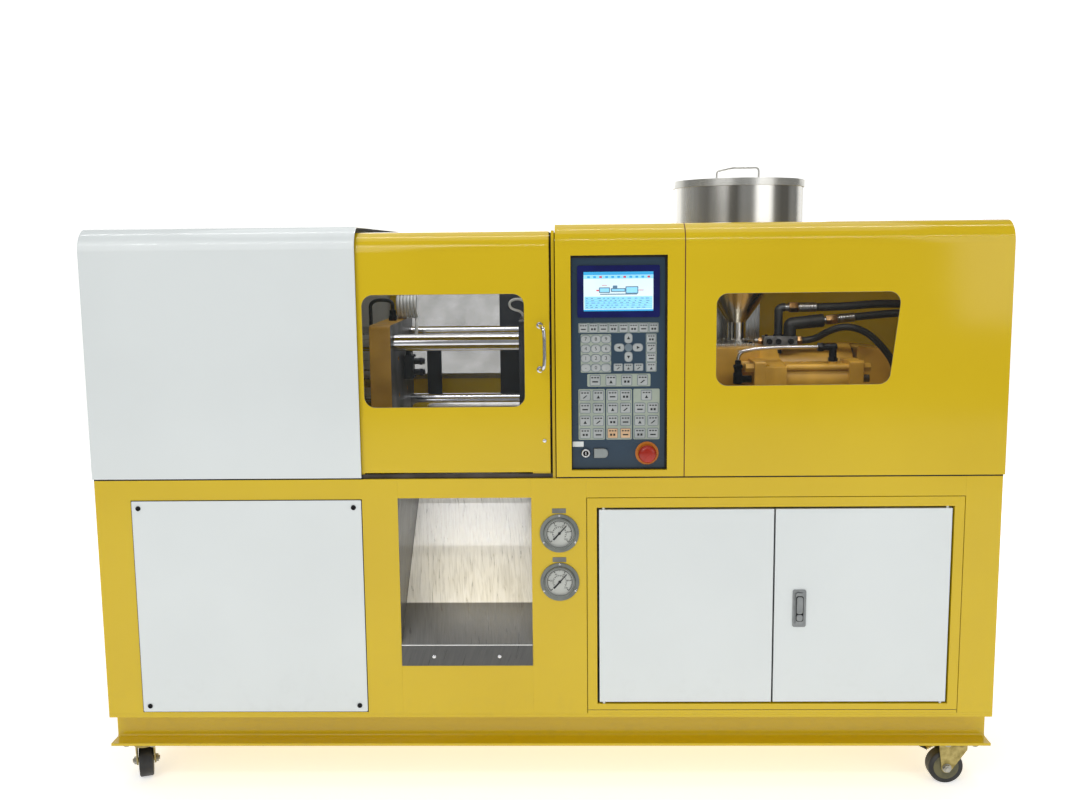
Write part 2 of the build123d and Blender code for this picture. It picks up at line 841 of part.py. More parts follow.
with BuildPart() as control_panel:
    front_plate(inset(recess, -recess_lip_t), panel_face, panel_plate_t)
    panel_disc(switch_centre, panel_face, switch_r, switch_t)
    front_plate(panel_area(socket_cover), panel_face - socket_cover_t, socket_cover_t, radius=recess_lip_t)
save(control_panel, "control_panel")

with BuildPart() as screen:
    bezel = panel_area(bezel_area)
    front_plate(bezel, panel_face - bezel_t, bezel_t, radius=bezel_t)
    front_plate(inset(bezel, screen_border), panel_face - bezel_t, screen_sink, mode=Mode.SUBTRACT)
save(screen, "screen")


def key_grid(area, columns, rows):
    """Lay out a block of equal keys over an area of the panel."""
    x0, x1, z0, z1 = panel_area(area)
    dx = (x1 - x0) / columns
    dz = (z1 - z0) / rows
    with BuildSketch(front_plane(panel_face)) as caps:
        with Locations(((x0 + x1) / 2, (z0 + z1) / 2)):
            with GridLocations(dx, dz, columns, rows):
                Rectangle(dx - key_gap, dz - key_gap)
    extrude(caps.sketch, amount=key_t)


with BuildPart() as keypad:
    key_grid(function_keys, 8, 1)
    key_grid(number_keys, 3, 4)
    key_grid(row_keys, 3, 1)
    key_grid(side_keys, 1, 4)
    key_grid(wide_keys, 4, 1)
    z0, z1 = block_rows
    row_height = (z1 - z0) / 4
    for x0, x1 in block_columns[:2]:
        key_grid((x0, x1, z0, z1), 2, 4)
    x0, x1 = block_columns[2]
    key_grid((x0, x1, z0, z1 - row_height), 2, 3)
    key_width = (x1 - x0) / 2
    key_grid((x0 + key_width / 2, x1 - key_width / 2, z1 - row_height, z1), 1, 1)
    with BuildSketch(front_plane(panel_face)) as arrows:
        with Locations(on_panel(*arrow_centre)):
            with PolarLocations(arrow_ring_r, 4):
                Rectangle(*arrow_key)
    extrude(arrows.sketch, amount=key_t)
save(keypad, "keypad")

# Mushroom head emergency stop
with BuildPart() as emergency_stop:
    panel_disc(estop_centre, panel_face, estop_ring_r, estop_ring_t)
    stem_y = panel_face - estop_ring_t
    panel_disc(estop_centre, stem_y, estop_stem_r, estop_stem_t)
    panel_disc(estop_centre, stem_y - estop_stem_t, estop_head_r, estop_head_t)
    fillet(emergency_stop.faces().sort_by(Axis.Y)[0].edges(), estop_round)
save(emergency_stop, "emergency_stop")

# Clamp unit, stations along X from the control housing towards the clamp end
fixed_x1 = housing_x0 - fixed_platen_setback
fixed_x0 = fixed_x1 - fixed_platen_t
moving_x1 = fixed_x0 - mould_space
moving_x0 = moving_x1 - moving_platen_t
rear_x1 = moving_x0 - ram_space
rear_x0 = rear_x1 - rear_platen_t
cylinder_x0 = rear_x0 - cylinder_length
bar_places = [(side_y * bar_spacing_y / 2, clamp_axis_z + side_z * bar_spacing_z / 2)
              for side_y in (-1, 1) for side_z in (-1, 1)]


def platen(x0, x1, z0, z1):
    """Make one platen with rounded corners and its four tie bar holes."""
    with BuildSketch(Plane.YZ.offset(x0)) as outline:
        with Locations((0, (z0 + z1) / 2)):
            RectangleRounded(2 * platen_half_y, z1 - z0, platen_corner)
        with Locations(*bar_places):
            Circle(bar_d / 2 + running_fit, mode=Mode.SUBTRACT)
    extrude(outline.sketch, amount=x1 - x0)


def mould_bolt_holes(x, depth):
    """Drill the rectangle of mould bolt holes into a platen's face."""
    with BuildSketch(Plane.YZ.offset(x)) as holes:
        with Locations((0, clamp_axis_z)):
            with GridLocations(mould_bolt_y, mould_bolt_z, 2, 2):
                Circle(mould_bolt_d / 2)
    extrude(holes.sketch, amount=depth, mode=Mode.SUBTRACT)


def round_bar(centre_y, centre_z, x0, x1, radius, mode=Mode.ADD):
    """Make a round bar or bore along X."""
    with BuildSketch(Plane.YZ.offset(x0)) as disc:
        with Locations((centre_y, centre_z)):
            Circle(radius)
    extrude(disc.sketch, amount=x1 - x0, mode=mode)


with BuildPart() as fixed_platen:
    platen(fixed_x0, fixed_x1, bed_z, platen_top + fixed_platen_rise)
    round_bar(0, clamp_axis_z, fixed_x0, fixed_x1, nozzle_bore_d / 2, Mode.SUBTRACT)
    round_bar(0, clamp_axis_z, fixed_x0, fixed_x0 + ring_bore_depth, ring_bore_d / 2, Mode.SUBTRACT)
    mould_bolt_holes(fixed_x0, mould_bolt_depth)
save(fixed_platen, "fixed_platen")

with BuildPart() as moving_platen:
    platen(moving_x0, moving_x1, clamp_axis_z - platen_half_z, platen_top)
    mould_bolt_holes(moving_x1, -mould_bolt_depth)
save(moving_platen, "moving_platen")

# Rear platen with the clamp cylinder behind it and the ram through both
with BuildPart() as rear_platen:
    platen(rear_x0, rear_x1, bed_z, platen_top + fixed_platen_rise)
    round_bar(0, clamp_axis_z, cylinder_x0, rear_x0, cylinder_d / 2)
    round_bar(0, clamp_axis_z, cylinder_x0 + cylinder_cap_t, rear_x1, ram_d / 2 + loose_fit, Mode.SUBTRACT)
save(rear_platen, "rear_platen")

with BuildPart() as clamp_ram:
    round_bar(0, clamp_axis_z, cylinder_x0 + cylinder_cap_t + ram_end_gap, moving_x0, ram_d / 2)
save(clamp_ram, "clamp_ram")

# Tie bars with their nuts
with BuildPart() as tie_bars:
    nut_faces = (rear_x0 - nut_length, fixed_x1)
    for y, z in bar_places:
        round_bar(y, z, nut_faces[0] - bar_thread, nut_faces[1] + nut_length + bar_thread, bar_d / 2)
    for x in nut_faces:
        with BuildSketch(Plane.YZ.offset(x)):
            with Locations(*bar_places):
                RegularPolygon(nut_d / 2, 6)
        extrude(amount=nut_length)
save(tie_bars, "tie_bars")

# Hose manifold on the moving platen's mould face
with BuildPart() as platen_manifold:
    manifold_x1 = moving_x1 + manifold_t
    slab((moving_x1, manifold_x1), manifold_y, (clamp_axis_z + manifold_z[0], clamp_axis_z + manifold_z[1]))
    for rise in manifold_ports:
        round_bar(sum(manifold_y) / 2, clamp_axis_z + rise, manifold_x1, manifold_x1 + manifold_port_length,
                  manifold_port_r)
save(platen_manifold, "platen_manifold")

# Coiled hose that lies on the moving platen, its outer shape
coil_z = platen_top + seat_gap + coil_r
with BuildPart() as coil_hose:
    round_bar(coil_y, coil_z, moving_x0 + coil_x[0], moving_x0 + coil_x[1], coil_r)
    round_bar(coil_y, coil_z, moving_x0 + coil_x[0], moving_x0 + coil_x[1], coil_r - 2 * coil_tube_r,
              Mode.SUBTRACT)
save(coil_hose, "coil_hose")

# Dark uprights behind the tie bars
with BuildPart() as rear_uprights:
    for x0, x1, height in (left_upright, right_upright):
        slab((moving_x1 + x0, moving_x1 + x1), (upright_y, upright_y + upright_t), (bed_z, bed_z + height))
save(rear_uprights, "rear_uprights")

# Injection unit, stations along X
unit_x = housing_x1 + unit_gap
rail_top = bed_z + inj_rail_h
base_z = rail_top + base_t
housing_end = unit_x + inj_housing_length
yoke_x1 = housing_end + yoke_t
housing_top = base_z + inj_housing_height
barrel_r = barrel_d / 2


def axial_outline(points):
    """Close an outline of (x, distance from the clamp axis) points in the XZ plane."""
    Polyline(*[(x, clamp_axis_z + r) for x, r in points], close=True)


# Base plate on its two rails
with BuildPart() as injection_base:
    slab((unit_x + base_x[0], unit_x + base_x[1]), (-base_half_y, base_half_y), (rail_top, base_z))
    for y in mirrored_pair(inj_rail_y - inj_rail_w / 2, inj_rail_y + inj_rail_w / 2):
        slab((unit_x + inj_rail_x[0], unit_x + inj_rail_x[1]), y, (bed_z, rail_top))
save(injection_base, "injection_base")

with BuildPart() as injection_housing:
    half = inj_housing_half_y
    slab((unit_x, housing_end), (-half, half), (base_z, housing_top))
    shoulder = clamp_axis_z + yoke_shoulder
    waist = clamp_axis_z + yoke_waist
    wing_foot = clamp_axis_z + yoke_wing[0]
    wing_top = clamp_axis_z + yoke_wing[1]
    with BuildSketch(Plane.YZ.offset(housing_end)) as yoke:
        with BuildLine() as yoke_half:
            Polyline((0, base_z), (half, base_z), (half, waist), (yoke_half_y, wing_foot),
                     (yoke_half_y, wing_top), (half, shoulder), (yoke_top_half_y, housing_top),
                     (0, housing_top))
            mirror(about=Plane.YZ)
        make_face()
    extrude(yoke.sketch, amount=yoke_t)
    round_bar(0, clamp_axis_z, unit_x, housing_end, barrel_r + running_fit, Mode.SUBTRACT)
save(injection_housing, "injection_housing")

# Barrel with its nozzle and heater bands
with BuildPart() as barrel:
    tip = fixed_x0 + nozzle_tip_setback
    neck = tip + nozzle_taper
    step = neck + nozzle_length
    with BuildSketch(Plane.XZ):
        with BuildLine():
            axial_outline([(tip, 0), (tip, nozzle_tip_r), (neck, nozzle_d / 2), (step, nozzle_d / 2),
                           (step + barrel_taper, barrel_r), (housing_end, barrel_r), (housing_end, 0)])
        make_face()
    revolve(axis=Axis((0, 0, clamp_axis_z), (1, 0, 0)))
    first_band = step + barrel_taper + band_end_gap
    band_pitch = (unit_x - band_end_gap - band_w - first_band) / (band_count - 1)
    for index in range(band_count):
        band_x0 = first_band + index * band_pitch
        round_bar(0, clamp_axis_z, band_x0, band_x0 + band_w, barrel_r + band_t)
save(barrel, "barrel")

# Centre cylinder with its end cap, foot and pipe port
centre_x1 = yoke_x1 + centre_cyl_length
cap_x1 = centre_x1 + centre_cap_t
with BuildPart() as injection_cylinder:
    round_bar(0, clamp_axis_z, yoke_x1, cap_x1, centre_cyl_d / 2)
    round_bar(0, clamp_axis_z, centre_x1, cap_x1, centre_cyl_d / 2 + centre_cap_lip)
    slab((centre_x1, cap_x1), (-centre_foot_half_y, centre_foot_half_y), (base_z, clamp_axis_z))
    with BuildSketch(Plane.XY.offset(clamp_axis_z)):
        with Locations((unit_x + pipe_x, pipe_y)):
            Circle(pipe_r)
    extrude(amount=pipe_boss_rise)
save(injection_cylinder, "injection_cylinder")

# Cover over the motor, on the base plate
with BuildPart() as motor_cover:
    motor_x0 = cap_x1 + motor_gap
    foot = base_z - clamp_axis_z
    slope = [(motor_x0 + x, z) for x, z in motor_slope]
    with BuildSketch(front_plane(-motor_half_y)):
        with BuildLine():
            axial_outline([(motor_x0, foot), (motor_x0, motor_top), *slope, (motor_x0 + motor_length, foot)])
        make_face()
    extrude(amount=-2 * motor_half_y)
    fillet(motor_cover.edges().filter_by(Axis.Y).group_by(Axis.Z)[-1], motor_corner)
save(motor_cover, "motor_cover")

# Tie-rod cylinders: front plate, four rods, tube, rear head, nuts and a port on top
side_x1 = yoke_x1 + side_cyl_length
side_rear_x0 = side_x1 - side_rear_t
side_front_x0 = housing_end - side_front_t
side_port_x = side_x1 - side_port_back
side_port_top = side_cyl_z + side_cyl_tube_d / 2 + side_port_rise


def tie_rod_cylinder(y):
    """Make one complete cylinder at this Y."""
    for x0, x1 in ((side_front_x0, housing_end), (side_rear_x0, side_x1)):
        with BuildSketch(Plane.YZ.offset(x0)) as head:
            with Locations((y, side_cyl_z)):
                RectangleRounded(side_cyl_size, side_cyl_size, side_head_corner)
        extrude(head.sketch, amount=x1 - x0)
    round_bar(y, side_cyl_z, yoke_x1, side_rear_x0, side_cyl_tube_d / 2)
    rod_places = [(y + dy, side_cyl_z + dz) for dy in (-side_rod_offset, side_rod_offset)
                  for dz in (-side_rod_offset, side_rod_offset)]
    for rod_y, rod_z in rod_places:
        round_bar(rod_y, rod_z, yoke_x1, side_rear_x0, side_rod_d / 2)
    for x0, length in ((side_front_x0 - side_front_nut, side_front_nut), (side_x1, side_rear_nut)):
        with BuildSketch(Plane.YZ.offset(x0)) as nuts:
            with Locations(*rod_places):
                RegularPolygon(side_rod_d / 2 + side_nut_margin, 6)
        extrude(nuts.sketch, amount=length)
    with BuildSketch(Plane.XY.offset(side_cyl_z)) as port:
        with Locations((side_port_x, y)):
            Circle(side_port_r)
    extrude(port.sketch, amount=side_port_top - side_cyl_z)


with BuildPart() as tie_rod_cylinders:
    tie_rod_cylinder(-side_cyl_y)
    tie_rod_cylinder(side_cyl_y)
save(tie_rod_cylinders, "tie_rod_cylinders")

# Feed plate and the upright behind the hopper neck
feed_top = housing_top + feed_plate_t
with BuildPart() as feed_plate:
    feed_x0 = unit_x + feed_plate_x[0]
    slab((feed_x0, unit_x + feed_plate_x[1]), (-feed_plate_half_y, feed_plate_half_y), (housing_top, feed_top))
    slab((feed_x0, feed_x0 + feed_upright_length), (feed_plate_half_y - feed_upright_t, feed_plate_half_y),
         (housing_top, housing_top + feed_upright_height))
save(feed_plate, "feed_plate")


def vertical_outline(points):
    """Close an outline of (distance from the hopper's axis, z) points in the XZ plane."""
    Polyline(*[(hopper_x + r, z) for r, z in points], close=True)


# Hopper, a thin revolved shell
hopper_r = hopper_d / 2
neck_top = feed_top + neck_height
cone_top = neck_top + cone_height
hopper_top = cone_top + hopper_shell_height
hopper_axis = Axis((hopper_x, 0, 0), (0, 0, 1))
with BuildPart() as hopper:
    t = hopper_sheet
    n = neck_d / 2
    with BuildSketch(Plane.XZ):
        with BuildLine():
            vertical_outline([(n - t, feed_top), (n, feed_top), (n, neck_top), (hopper_r, cone_top),
                              (hopper_r, hopper_top), (hopper_r - t, hopper_top), (hopper_r - t, cone_top + t),
                              (n - t, neck_top + t)])
        make_face()
    revolve(axis=hopper_axis)
save(hopper, "hopper")

# Hopper lid with its bent wire handle
with BuildPart() as hopper_lid:
    r = lid_d / 2
    t = hopper_sheet
    skirt_foot = hopper_top - lid_skirt
    handle_base = hopper_top + t
    with BuildSketch(Plane.XZ):
        with BuildLine():
            vertical_outline([(0, hopper_top), (r - t, hopper_top), (r - t, skirt_foot), (r, skirt_foot),
                              (r, handle_base), (0, handle_base + lid_crown)])
        make_face()
    revolve(axis=hopper_axis)
    bail_x0 = hopper_x + bail_x[0]
    bail_x1 = hopper_x + bail_x[1]
    bail_top = handle_base + bail_rise
    with BuildLine() as bail:
        FilletPolyline((bail_x0, 0, handle_base), (bail_x0, 0, bail_top - bail_dip),
                       (bail_x0 + bail_slope, 0, bail_top), (bail_x1, 0, bail_top), (bail_x1, 0, handle_base),
                       radius=bail_bend)
    with BuildSketch(Plane.XY.offset(handle_base)) as wire:
        with Locations((bail_x0, 0)):
            Circle(bail_wire_r)
    sweep(wire.sketch, path=bail.line)
save(hopper_lid, "hopper_lid")


# Hydraulic fittings, places given from the injection housing's left face and the clamp axis
def unit_point(x, y, z):
    """Turn a place on the injection unit into the machine's own X, Y and Z."""
    return (unit_x + x, y, clamp_axis_z + z)


def ahead(start, direction, distance):
    """Give the point this far from start along a direction."""
    return tuple(Vector(*start) + Vector(*direction).normalized() * distance)


def coupling(start, direction, stages):
    """Chain fitting stages along a direction; each is (length, radius, "round" or "hexagon")."""
    travelled = 0.0
    for length, radius, section in stages:
        with BuildSketch(Plane(origin=start, z_dir=direction).offset(travelled)) as ring:
            if section == "hexagon":
                RegularPolygon(radius, 6)
            else:
                Circle(radius)
        extrude(ring.sketch, amount=length)
        travelled += length


def bend_radii(points):
    """Give each corner's bend radius, as large as its two runs allow."""
    radii = []
    for before, corner, after in zip(points, points[1:], points[2:]):
        run_in = Vector(*corner) - Vector(*before)
        run_out = Vector(*after) - Vector(*corner)
        half_turn = math.radians(run_in.get_angle(run_out)) / 2
        radii.append(bend_share * min(run_in.length, run_out.length) / math.tan(half_turn))
    return radii


def tube(points, radius, radii=None):
    """Sweep a hose or pipe along its route and print its bend radii."""
    radii = radii or bend_radii(points)
    with BuildLine() as route:
        FilletPolyline(*points, radius=radii)
    with BuildSketch(Plane(origin=route.line @ 0, z_dir=route.line % 0)) as end_circle:
        Circle(radius)
    sweep(end_circle.sketch, path=route.line)
    print("bend radii", [round(value) for value in radii], "tube radius", radius)


along_x = (1, 0, 0)
against_x = (-1, 0, 0)
upward = (0, 0, 1)
block_z = (housing_top, housing_top + block_height)
block_mid = (sum(block_y) / 2, sum(block_z) / 2)
valve_x0 = unit_x + valve_x[0]
valve_x1 = unit_x + valve_x[1]
boot_route = [unit_point(*point) for point in boot_points]
boot_line = tuple(Vector(*boot_route[2]) - Vector(*boot_route[1]))
oil_route = [unit_point(*point) for point in oil_pipe_points]
oil_body_x = side_front_x0 - oil_inlet_length
with BuildPart() as hose_fittings:
    slab((unit_x + block_x[0], unit_x + block_x[1]), block_y, block_z)
    coupling((unit_x + block_x[1], *block_mid), along_x, block_port)
    coupling((unit_x + block_x[0], *block_mid), against_x, block_plug)
    coupling(unit_point(pipe_x, pipe_y, pipe_boss_rise), upward, [(pipe_top - pipe_boss_rise, pipe_r, "round")])
    coupling(unit_point(pipe_x, pipe_y, pipe_port_rise), along_x, pipe_coupling)
    coupling(boot_route[2], boot_line, boot_coupling)
    coupling((side_x1, -side_cyl_y, side_cyl_z), along_x, head_port)
    coupling((side_front_x0, -side_cyl_y, side_cyl_z), against_x, [(oil_inlet_length, oil_inlet_r, "round")])
    coupling((oil_body_x, -side_cyl_y, side_cyl_z - oil_body_r), upward,
             [(oil_route[0][2] - side_cyl_z + oil_body_r, oil_body_r, "round")])
    coupling(oil_route[-1], along_x, [(oil_elbow_length, oil_elbow_r, "round")])
    coupling((side_port_x, -side_cyl_y, side_port_top), upward,
             [(oil_route[-1][2] - side_port_top, oil_elbow_r, "round")])
    coupling((unit_x + hose_port[0], hose_port[1], base_z), upward, [(hose_port_height, hose_port_r, "round")])
    slab((valve_x0, valve_x1), valve_y, (bed_z, bed_z + valve_height))
save(hose_fittings, "hose_fittings")

# Hydraulic hoses, the rubber boot, the steel oil pipe and the thin loop tube on the fixed platen
pressure_start = unit_point(pipe_x + sum(stage[0] for stage in pipe_coupling), pipe_y, pipe_port_rise)
return_start = ahead(boot_route[2], boot_line, sum(stage[0] for stage in boot_coupling))
base_start = (unit_x + block_x[1] + block_port[0][0], *block_mid)
with BuildPart() as hydraulic_hoses:
    tube([pressure_start] + [unit_point(*point) for point in pressure_hose_points], hose_r)
    tube([return_start, ahead(return_start, boot_line, return_lead)]
         + [unit_point(*point) for point in return_hose_points], return_hose_r)
    tube([base_start] + [unit_point(*point) for point in base_hose_points], base_hose_r)
    tube(boot_route, boot_r, [boot_bend])
    tube(oil_route, oil_pipe_r)
    loop_foot = platen_top + fixed_platen_rise
    tube([(fixed_x0 + x, loop_tube_y, loop_foot + z) for x, z in loop_tube_points], loop_tube_r)
save(hydraulic_hoses, "hydraulic_hoses")

with BuildPart() as platen_hose:
    tube([(moving_x0 + x, 0, platen_top + z) for x, z in platen_hose_points], platen_hose_r)
save(platen_hose, "platen_hose")


# Casters
def caster_corner(name, sign_x, sign_y, heading):
    """Build one swivel caster and return its top plate.

    heading is the direction in degrees in which the wheel trails its swivel.
    """
    cx = sign_x * caster_x
    cy = sign_y * caster_y
    swivel = Plane(origin=(cx, cy, 0)).rotated((0, 0, heading))
    along_trail = Plane(origin=swivel.origin, x_dir=swivel.x_dir, z_dir=-swivel.y_dir)
    half_fork = wheel_w / 2 + fork_gap
    crown_z = fork_top - fork_t
    tail_x = caster_trail + fork_lead
    with BuildPart() as plate:
        with BuildSketch(Plane.XY.offset(swivel_z)):
            with Locations((cx, cy)):
                RectangleRounded(caster_plate, caster_plate, caster_plate_corner)
        extrude(amount=caster_plate_t)
        with BuildSketch(Plane.XY.offset(swivel_z - race_h)):
            with Locations((cx, cy)):
                Circle(race_d / 2)
        extrude(amount=race_h)
    with BuildPart() as fork:
        with BuildSketch(swivel.offset(crown_z)):
            Circle(race_d / 2)
            with Locations(((tail_x - fork_lead) / 2, 0)):
                Rectangle(tail_x + fork_lead, 2 * (half_fork + fork_t))
        extrude(amount=fork_t)
        for side in (half_fork, -half_fork - fork_t):
            with BuildSketch(along_trail.offset(side)) as leg:
                with Locations(((tail_x - fork_lead) / 2, fork_top - fork_shoulder / 2)):
                    Rectangle(tail_x + fork_lead, fork_shoulder)
                with Locations((caster_trail, axle_z)):
                    Circle(axle_boss_r)
                make_hull()
            extrude(amount=fork_t)
        with BuildSketch(along_trail.offset(-half_fork)):
            with Locations((caster_trail, axle_z)):
                Circle(axle_d / 2)
        extrude(amount=2 * half_fork)
        bend_x = tail_x + lever_reach - lever_tread
        with BuildSketch(along_trail.offset(-wheel_w / 4)):
            with BuildLine():
                Polyline((tail_x - lever_t, fork_top), (tail_x - lever_t, crown_z), (tail_x, crown_z),
                         (bend_x, fork_top - lever_drop), (tail_x + lever_reach, crown_z - lever_t),
                         (tail_x + lever_reach, crown_z), (bend_x, fork_top - lever_drop + lever_t),
                         (tail_x, fork_top), close=True)
            make_face()
        extrude(amount=wheel_w / 2)
    with BuildPart() as wheel:
        with BuildSketch(along_trail.offset(-wheel_w / 2)):
            with Locations((caster_trail, axle_z)):
                Circle(wheel_d / 2)
        extrude(amount=wheel_w)
        fillet(wheel.edges().filter_by(GeomType.CIRCLE), wheel_round)
        with BuildSketch(along_trail.offset(-wheel_w / 2)):
            with Locations((caster_trail, axle_z)):
                Circle(axle_d / 2 + running_fit)
        extrude(amount=wheel_w, mode=Mode.SUBTRACT)
    save(fork, f"caster_fork_{name}")
    save(wheel, f"caster_wheel_{name}")
    return plate


caster_layout = (("front_left", -1, -1, 110.0), ("front_right", 1, -1, 180.0),
                 ("rear_left", -1, 1, 0.0), ("rear_right", 1, 1, 180.0))
caster_tops = [caster_corner(*corner) for corner in caster_layout]
with BuildPart() as caster_plates:
    for top in caster_tops:
        add(top.part)
save(caster_plates, "caster_plates")
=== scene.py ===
"""Looks of a horizontal injection molding machine, built round its fixed CAD frame.

Sizes in the dataclass fields are millimetres in the machine's own frame: X runs
along the machine with the clamp end at -X, the operator stands at -Y and the
floor is Z = 0.
"""
import json
import logging
import math
import random
from dataclasses import dataclass, field
from enum import Enum

import bmesh
import bpy
from mathutils import Matrix, Vector

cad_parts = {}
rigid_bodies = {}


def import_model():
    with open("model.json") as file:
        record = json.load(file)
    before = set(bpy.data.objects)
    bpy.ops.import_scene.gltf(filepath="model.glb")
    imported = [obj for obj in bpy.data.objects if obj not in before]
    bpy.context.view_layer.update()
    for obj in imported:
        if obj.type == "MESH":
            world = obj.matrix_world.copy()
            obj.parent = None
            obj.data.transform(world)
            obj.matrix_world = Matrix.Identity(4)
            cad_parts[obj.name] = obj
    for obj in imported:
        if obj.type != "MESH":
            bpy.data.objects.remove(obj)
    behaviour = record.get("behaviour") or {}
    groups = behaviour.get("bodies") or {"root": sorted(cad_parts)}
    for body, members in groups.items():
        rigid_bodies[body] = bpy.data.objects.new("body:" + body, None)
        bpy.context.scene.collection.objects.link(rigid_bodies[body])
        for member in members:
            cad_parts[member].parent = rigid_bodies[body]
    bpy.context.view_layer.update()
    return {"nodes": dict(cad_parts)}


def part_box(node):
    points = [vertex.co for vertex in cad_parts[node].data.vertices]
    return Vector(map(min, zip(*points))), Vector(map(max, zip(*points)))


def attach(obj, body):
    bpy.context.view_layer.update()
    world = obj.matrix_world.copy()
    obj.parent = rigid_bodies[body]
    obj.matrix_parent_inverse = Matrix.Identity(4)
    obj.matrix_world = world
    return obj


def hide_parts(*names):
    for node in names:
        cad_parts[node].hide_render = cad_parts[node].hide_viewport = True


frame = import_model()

MM = 0.001
AXIS_HEIGHT = 941.0  # Z of the clamp and the barrel in millimetres
log = logging.getLogger("molding_machine")
Socket = bpy.types.NodeSocket
Point = tuple[float, float, float]
Spot = tuple[float, float]
Rect = tuple[float, float, float, float]
FRONT: Point = (0, -1, 0)
LEFT: Point = (-1, 0, 0)
RIGHT: Point = (1, 0, 0)
UP: Point = (0, 0, 1)
DOWN: Point = (0, 0, -1)


def linear_colour(code: str) -> tuple[float, float, float, float]:
    """Turn an sRGB hex colour into the linear colour a shader takes.

    Args:
        code: six hex digits, with or without a leading hash.

    Returns:
        Linear red, green, blue and an alpha of 1.
    """
    digits = code.lstrip("#")
    values = [int(digits[i:i + 2], 16) / 255 for i in (0, 2, 4)]
    red, green, blue = [v / 12.92 if v <= 0.04045 else ((v + 0.055) / 1.055) ** 2.4 for v in values]
    return red, green, blue, 1.0


def add_node(tree: bpy.types.NodeTree, kind: str, settings: dict | None = None,
             links: dict | None = None) -> bpy.types.Node:
    """Add one node with its settings and its incoming links.

    Args:
        tree: the node tree that gets it.
        kind: the node's type without the ShaderNode prefix.
        settings: values by property name, input name or input number.
        links: source sockets by input name or input number.

    Returns:
        The new node.
    """
    node = tree.nodes.new("ShaderNode" + kind)
    for key, value in (settings or {}).items():
        if isinstance(key, int) or key in node.inputs:
            node.inputs[key].default_value = value
        else:
            setattr(node, key, value)
    for key, source in (links or {}).items():
        tree.links.new(source, node.inputs[key])
    return node


class Lay(Enum):
    """Direction in which a metal's brushing or grinding marks run."""

    ALONG_X = (0.01, 1.0, 1.0)
    ALONG_Y = (1.0, 0.01, 1.0)
    UPRIGHT = (1.0, 1.0, 0.01)
    AROUND_X = (1.0, 0.02, 0.02)
    EVEN = (1.0, 1.0, 1.0)


@dataclass(frozen=True)
class Skin:
    """One material's nodes, which a finish lays its patterns into.

    Attributes:
        tree: the material's node tree.
        shader: its principled shader.
        place: the piece's own coordinates in metres.
    """

    tree: bpy.types.NodeTree
    shader: bpy.types.Node
    place: Socket

    def grain(self, size: float, lay: Lay = Lay.EVEN, octaves: float = 2.0) -> Socket:
        """Lay a noise pattern over the surface.

        Args:
            size: real size of one grain in millimetres.
            lay: direction in which the grains are drawn out.
            octaves: levels of finer grain inside each grain.

        Returns:
            The pattern's 0 to 1 output.
        """
        drawn = add_node(self.tree, "Mapping", {"Scale": lay.value}, {"Vector": self.place}).outputs[0]
        return add_node(self.tree, "TexNoise", {"Scale": 1000 / size, "Detail": octaves},
                        {"Vector": drawn}).outputs["Fac"]

    def span(self, value: Socket, start: float, end: float, least: float = 0.0,
             most: float = 1.0) -> Socket:
        """Stretch a part of a pattern's values over a new range.

        Args:
            value: the pattern.
            start: pattern value that gives the least.
            end: pattern value that gives the most.
            least: the value at the start.
            most: the value at the end.

        Returns:
            The stretched pattern.
        """
        return add_node(self.tree, "MapRange", {"From Min": start, "From Max": end, "To Min": least, "To Max": most},
                        {"Value": value}).outputs[0]

    def sum(self, kind: str, first: Socket, second: Socket) -> Socket:
        """Join two patterns by one kind of sum, such as ADD."""
        return add_node(self.tree, "Math", {"operation": kind}, {0: first, 1: second}).outputs[0]

    def relief(self, height: Socket, depth: float, strength: float = 1.0, edge: float = 0.0) -> None:
        """Raise a pattern as bumps and round the edges that light catches.

        Args:
            height: the pattern.
            depth: real height of the bumps in millimetres.
            strength: share of the bumps that shows.
            edge: radius in millimetres of rounded edges, 0 for none.
        """
        links = {"Height": height}
        if edge:
            links["Normal"] = add_node(self.tree, "Bevel", {"samples": 4, "Radius": edge * MM}).outputs[0]
        bump = add_node(self.tree, "Bump", {"Strength": strength, "Distance": depth * MM}, links)
        self.tree.links.new(bump.outputs[0], self.shader.inputs["Normal"])


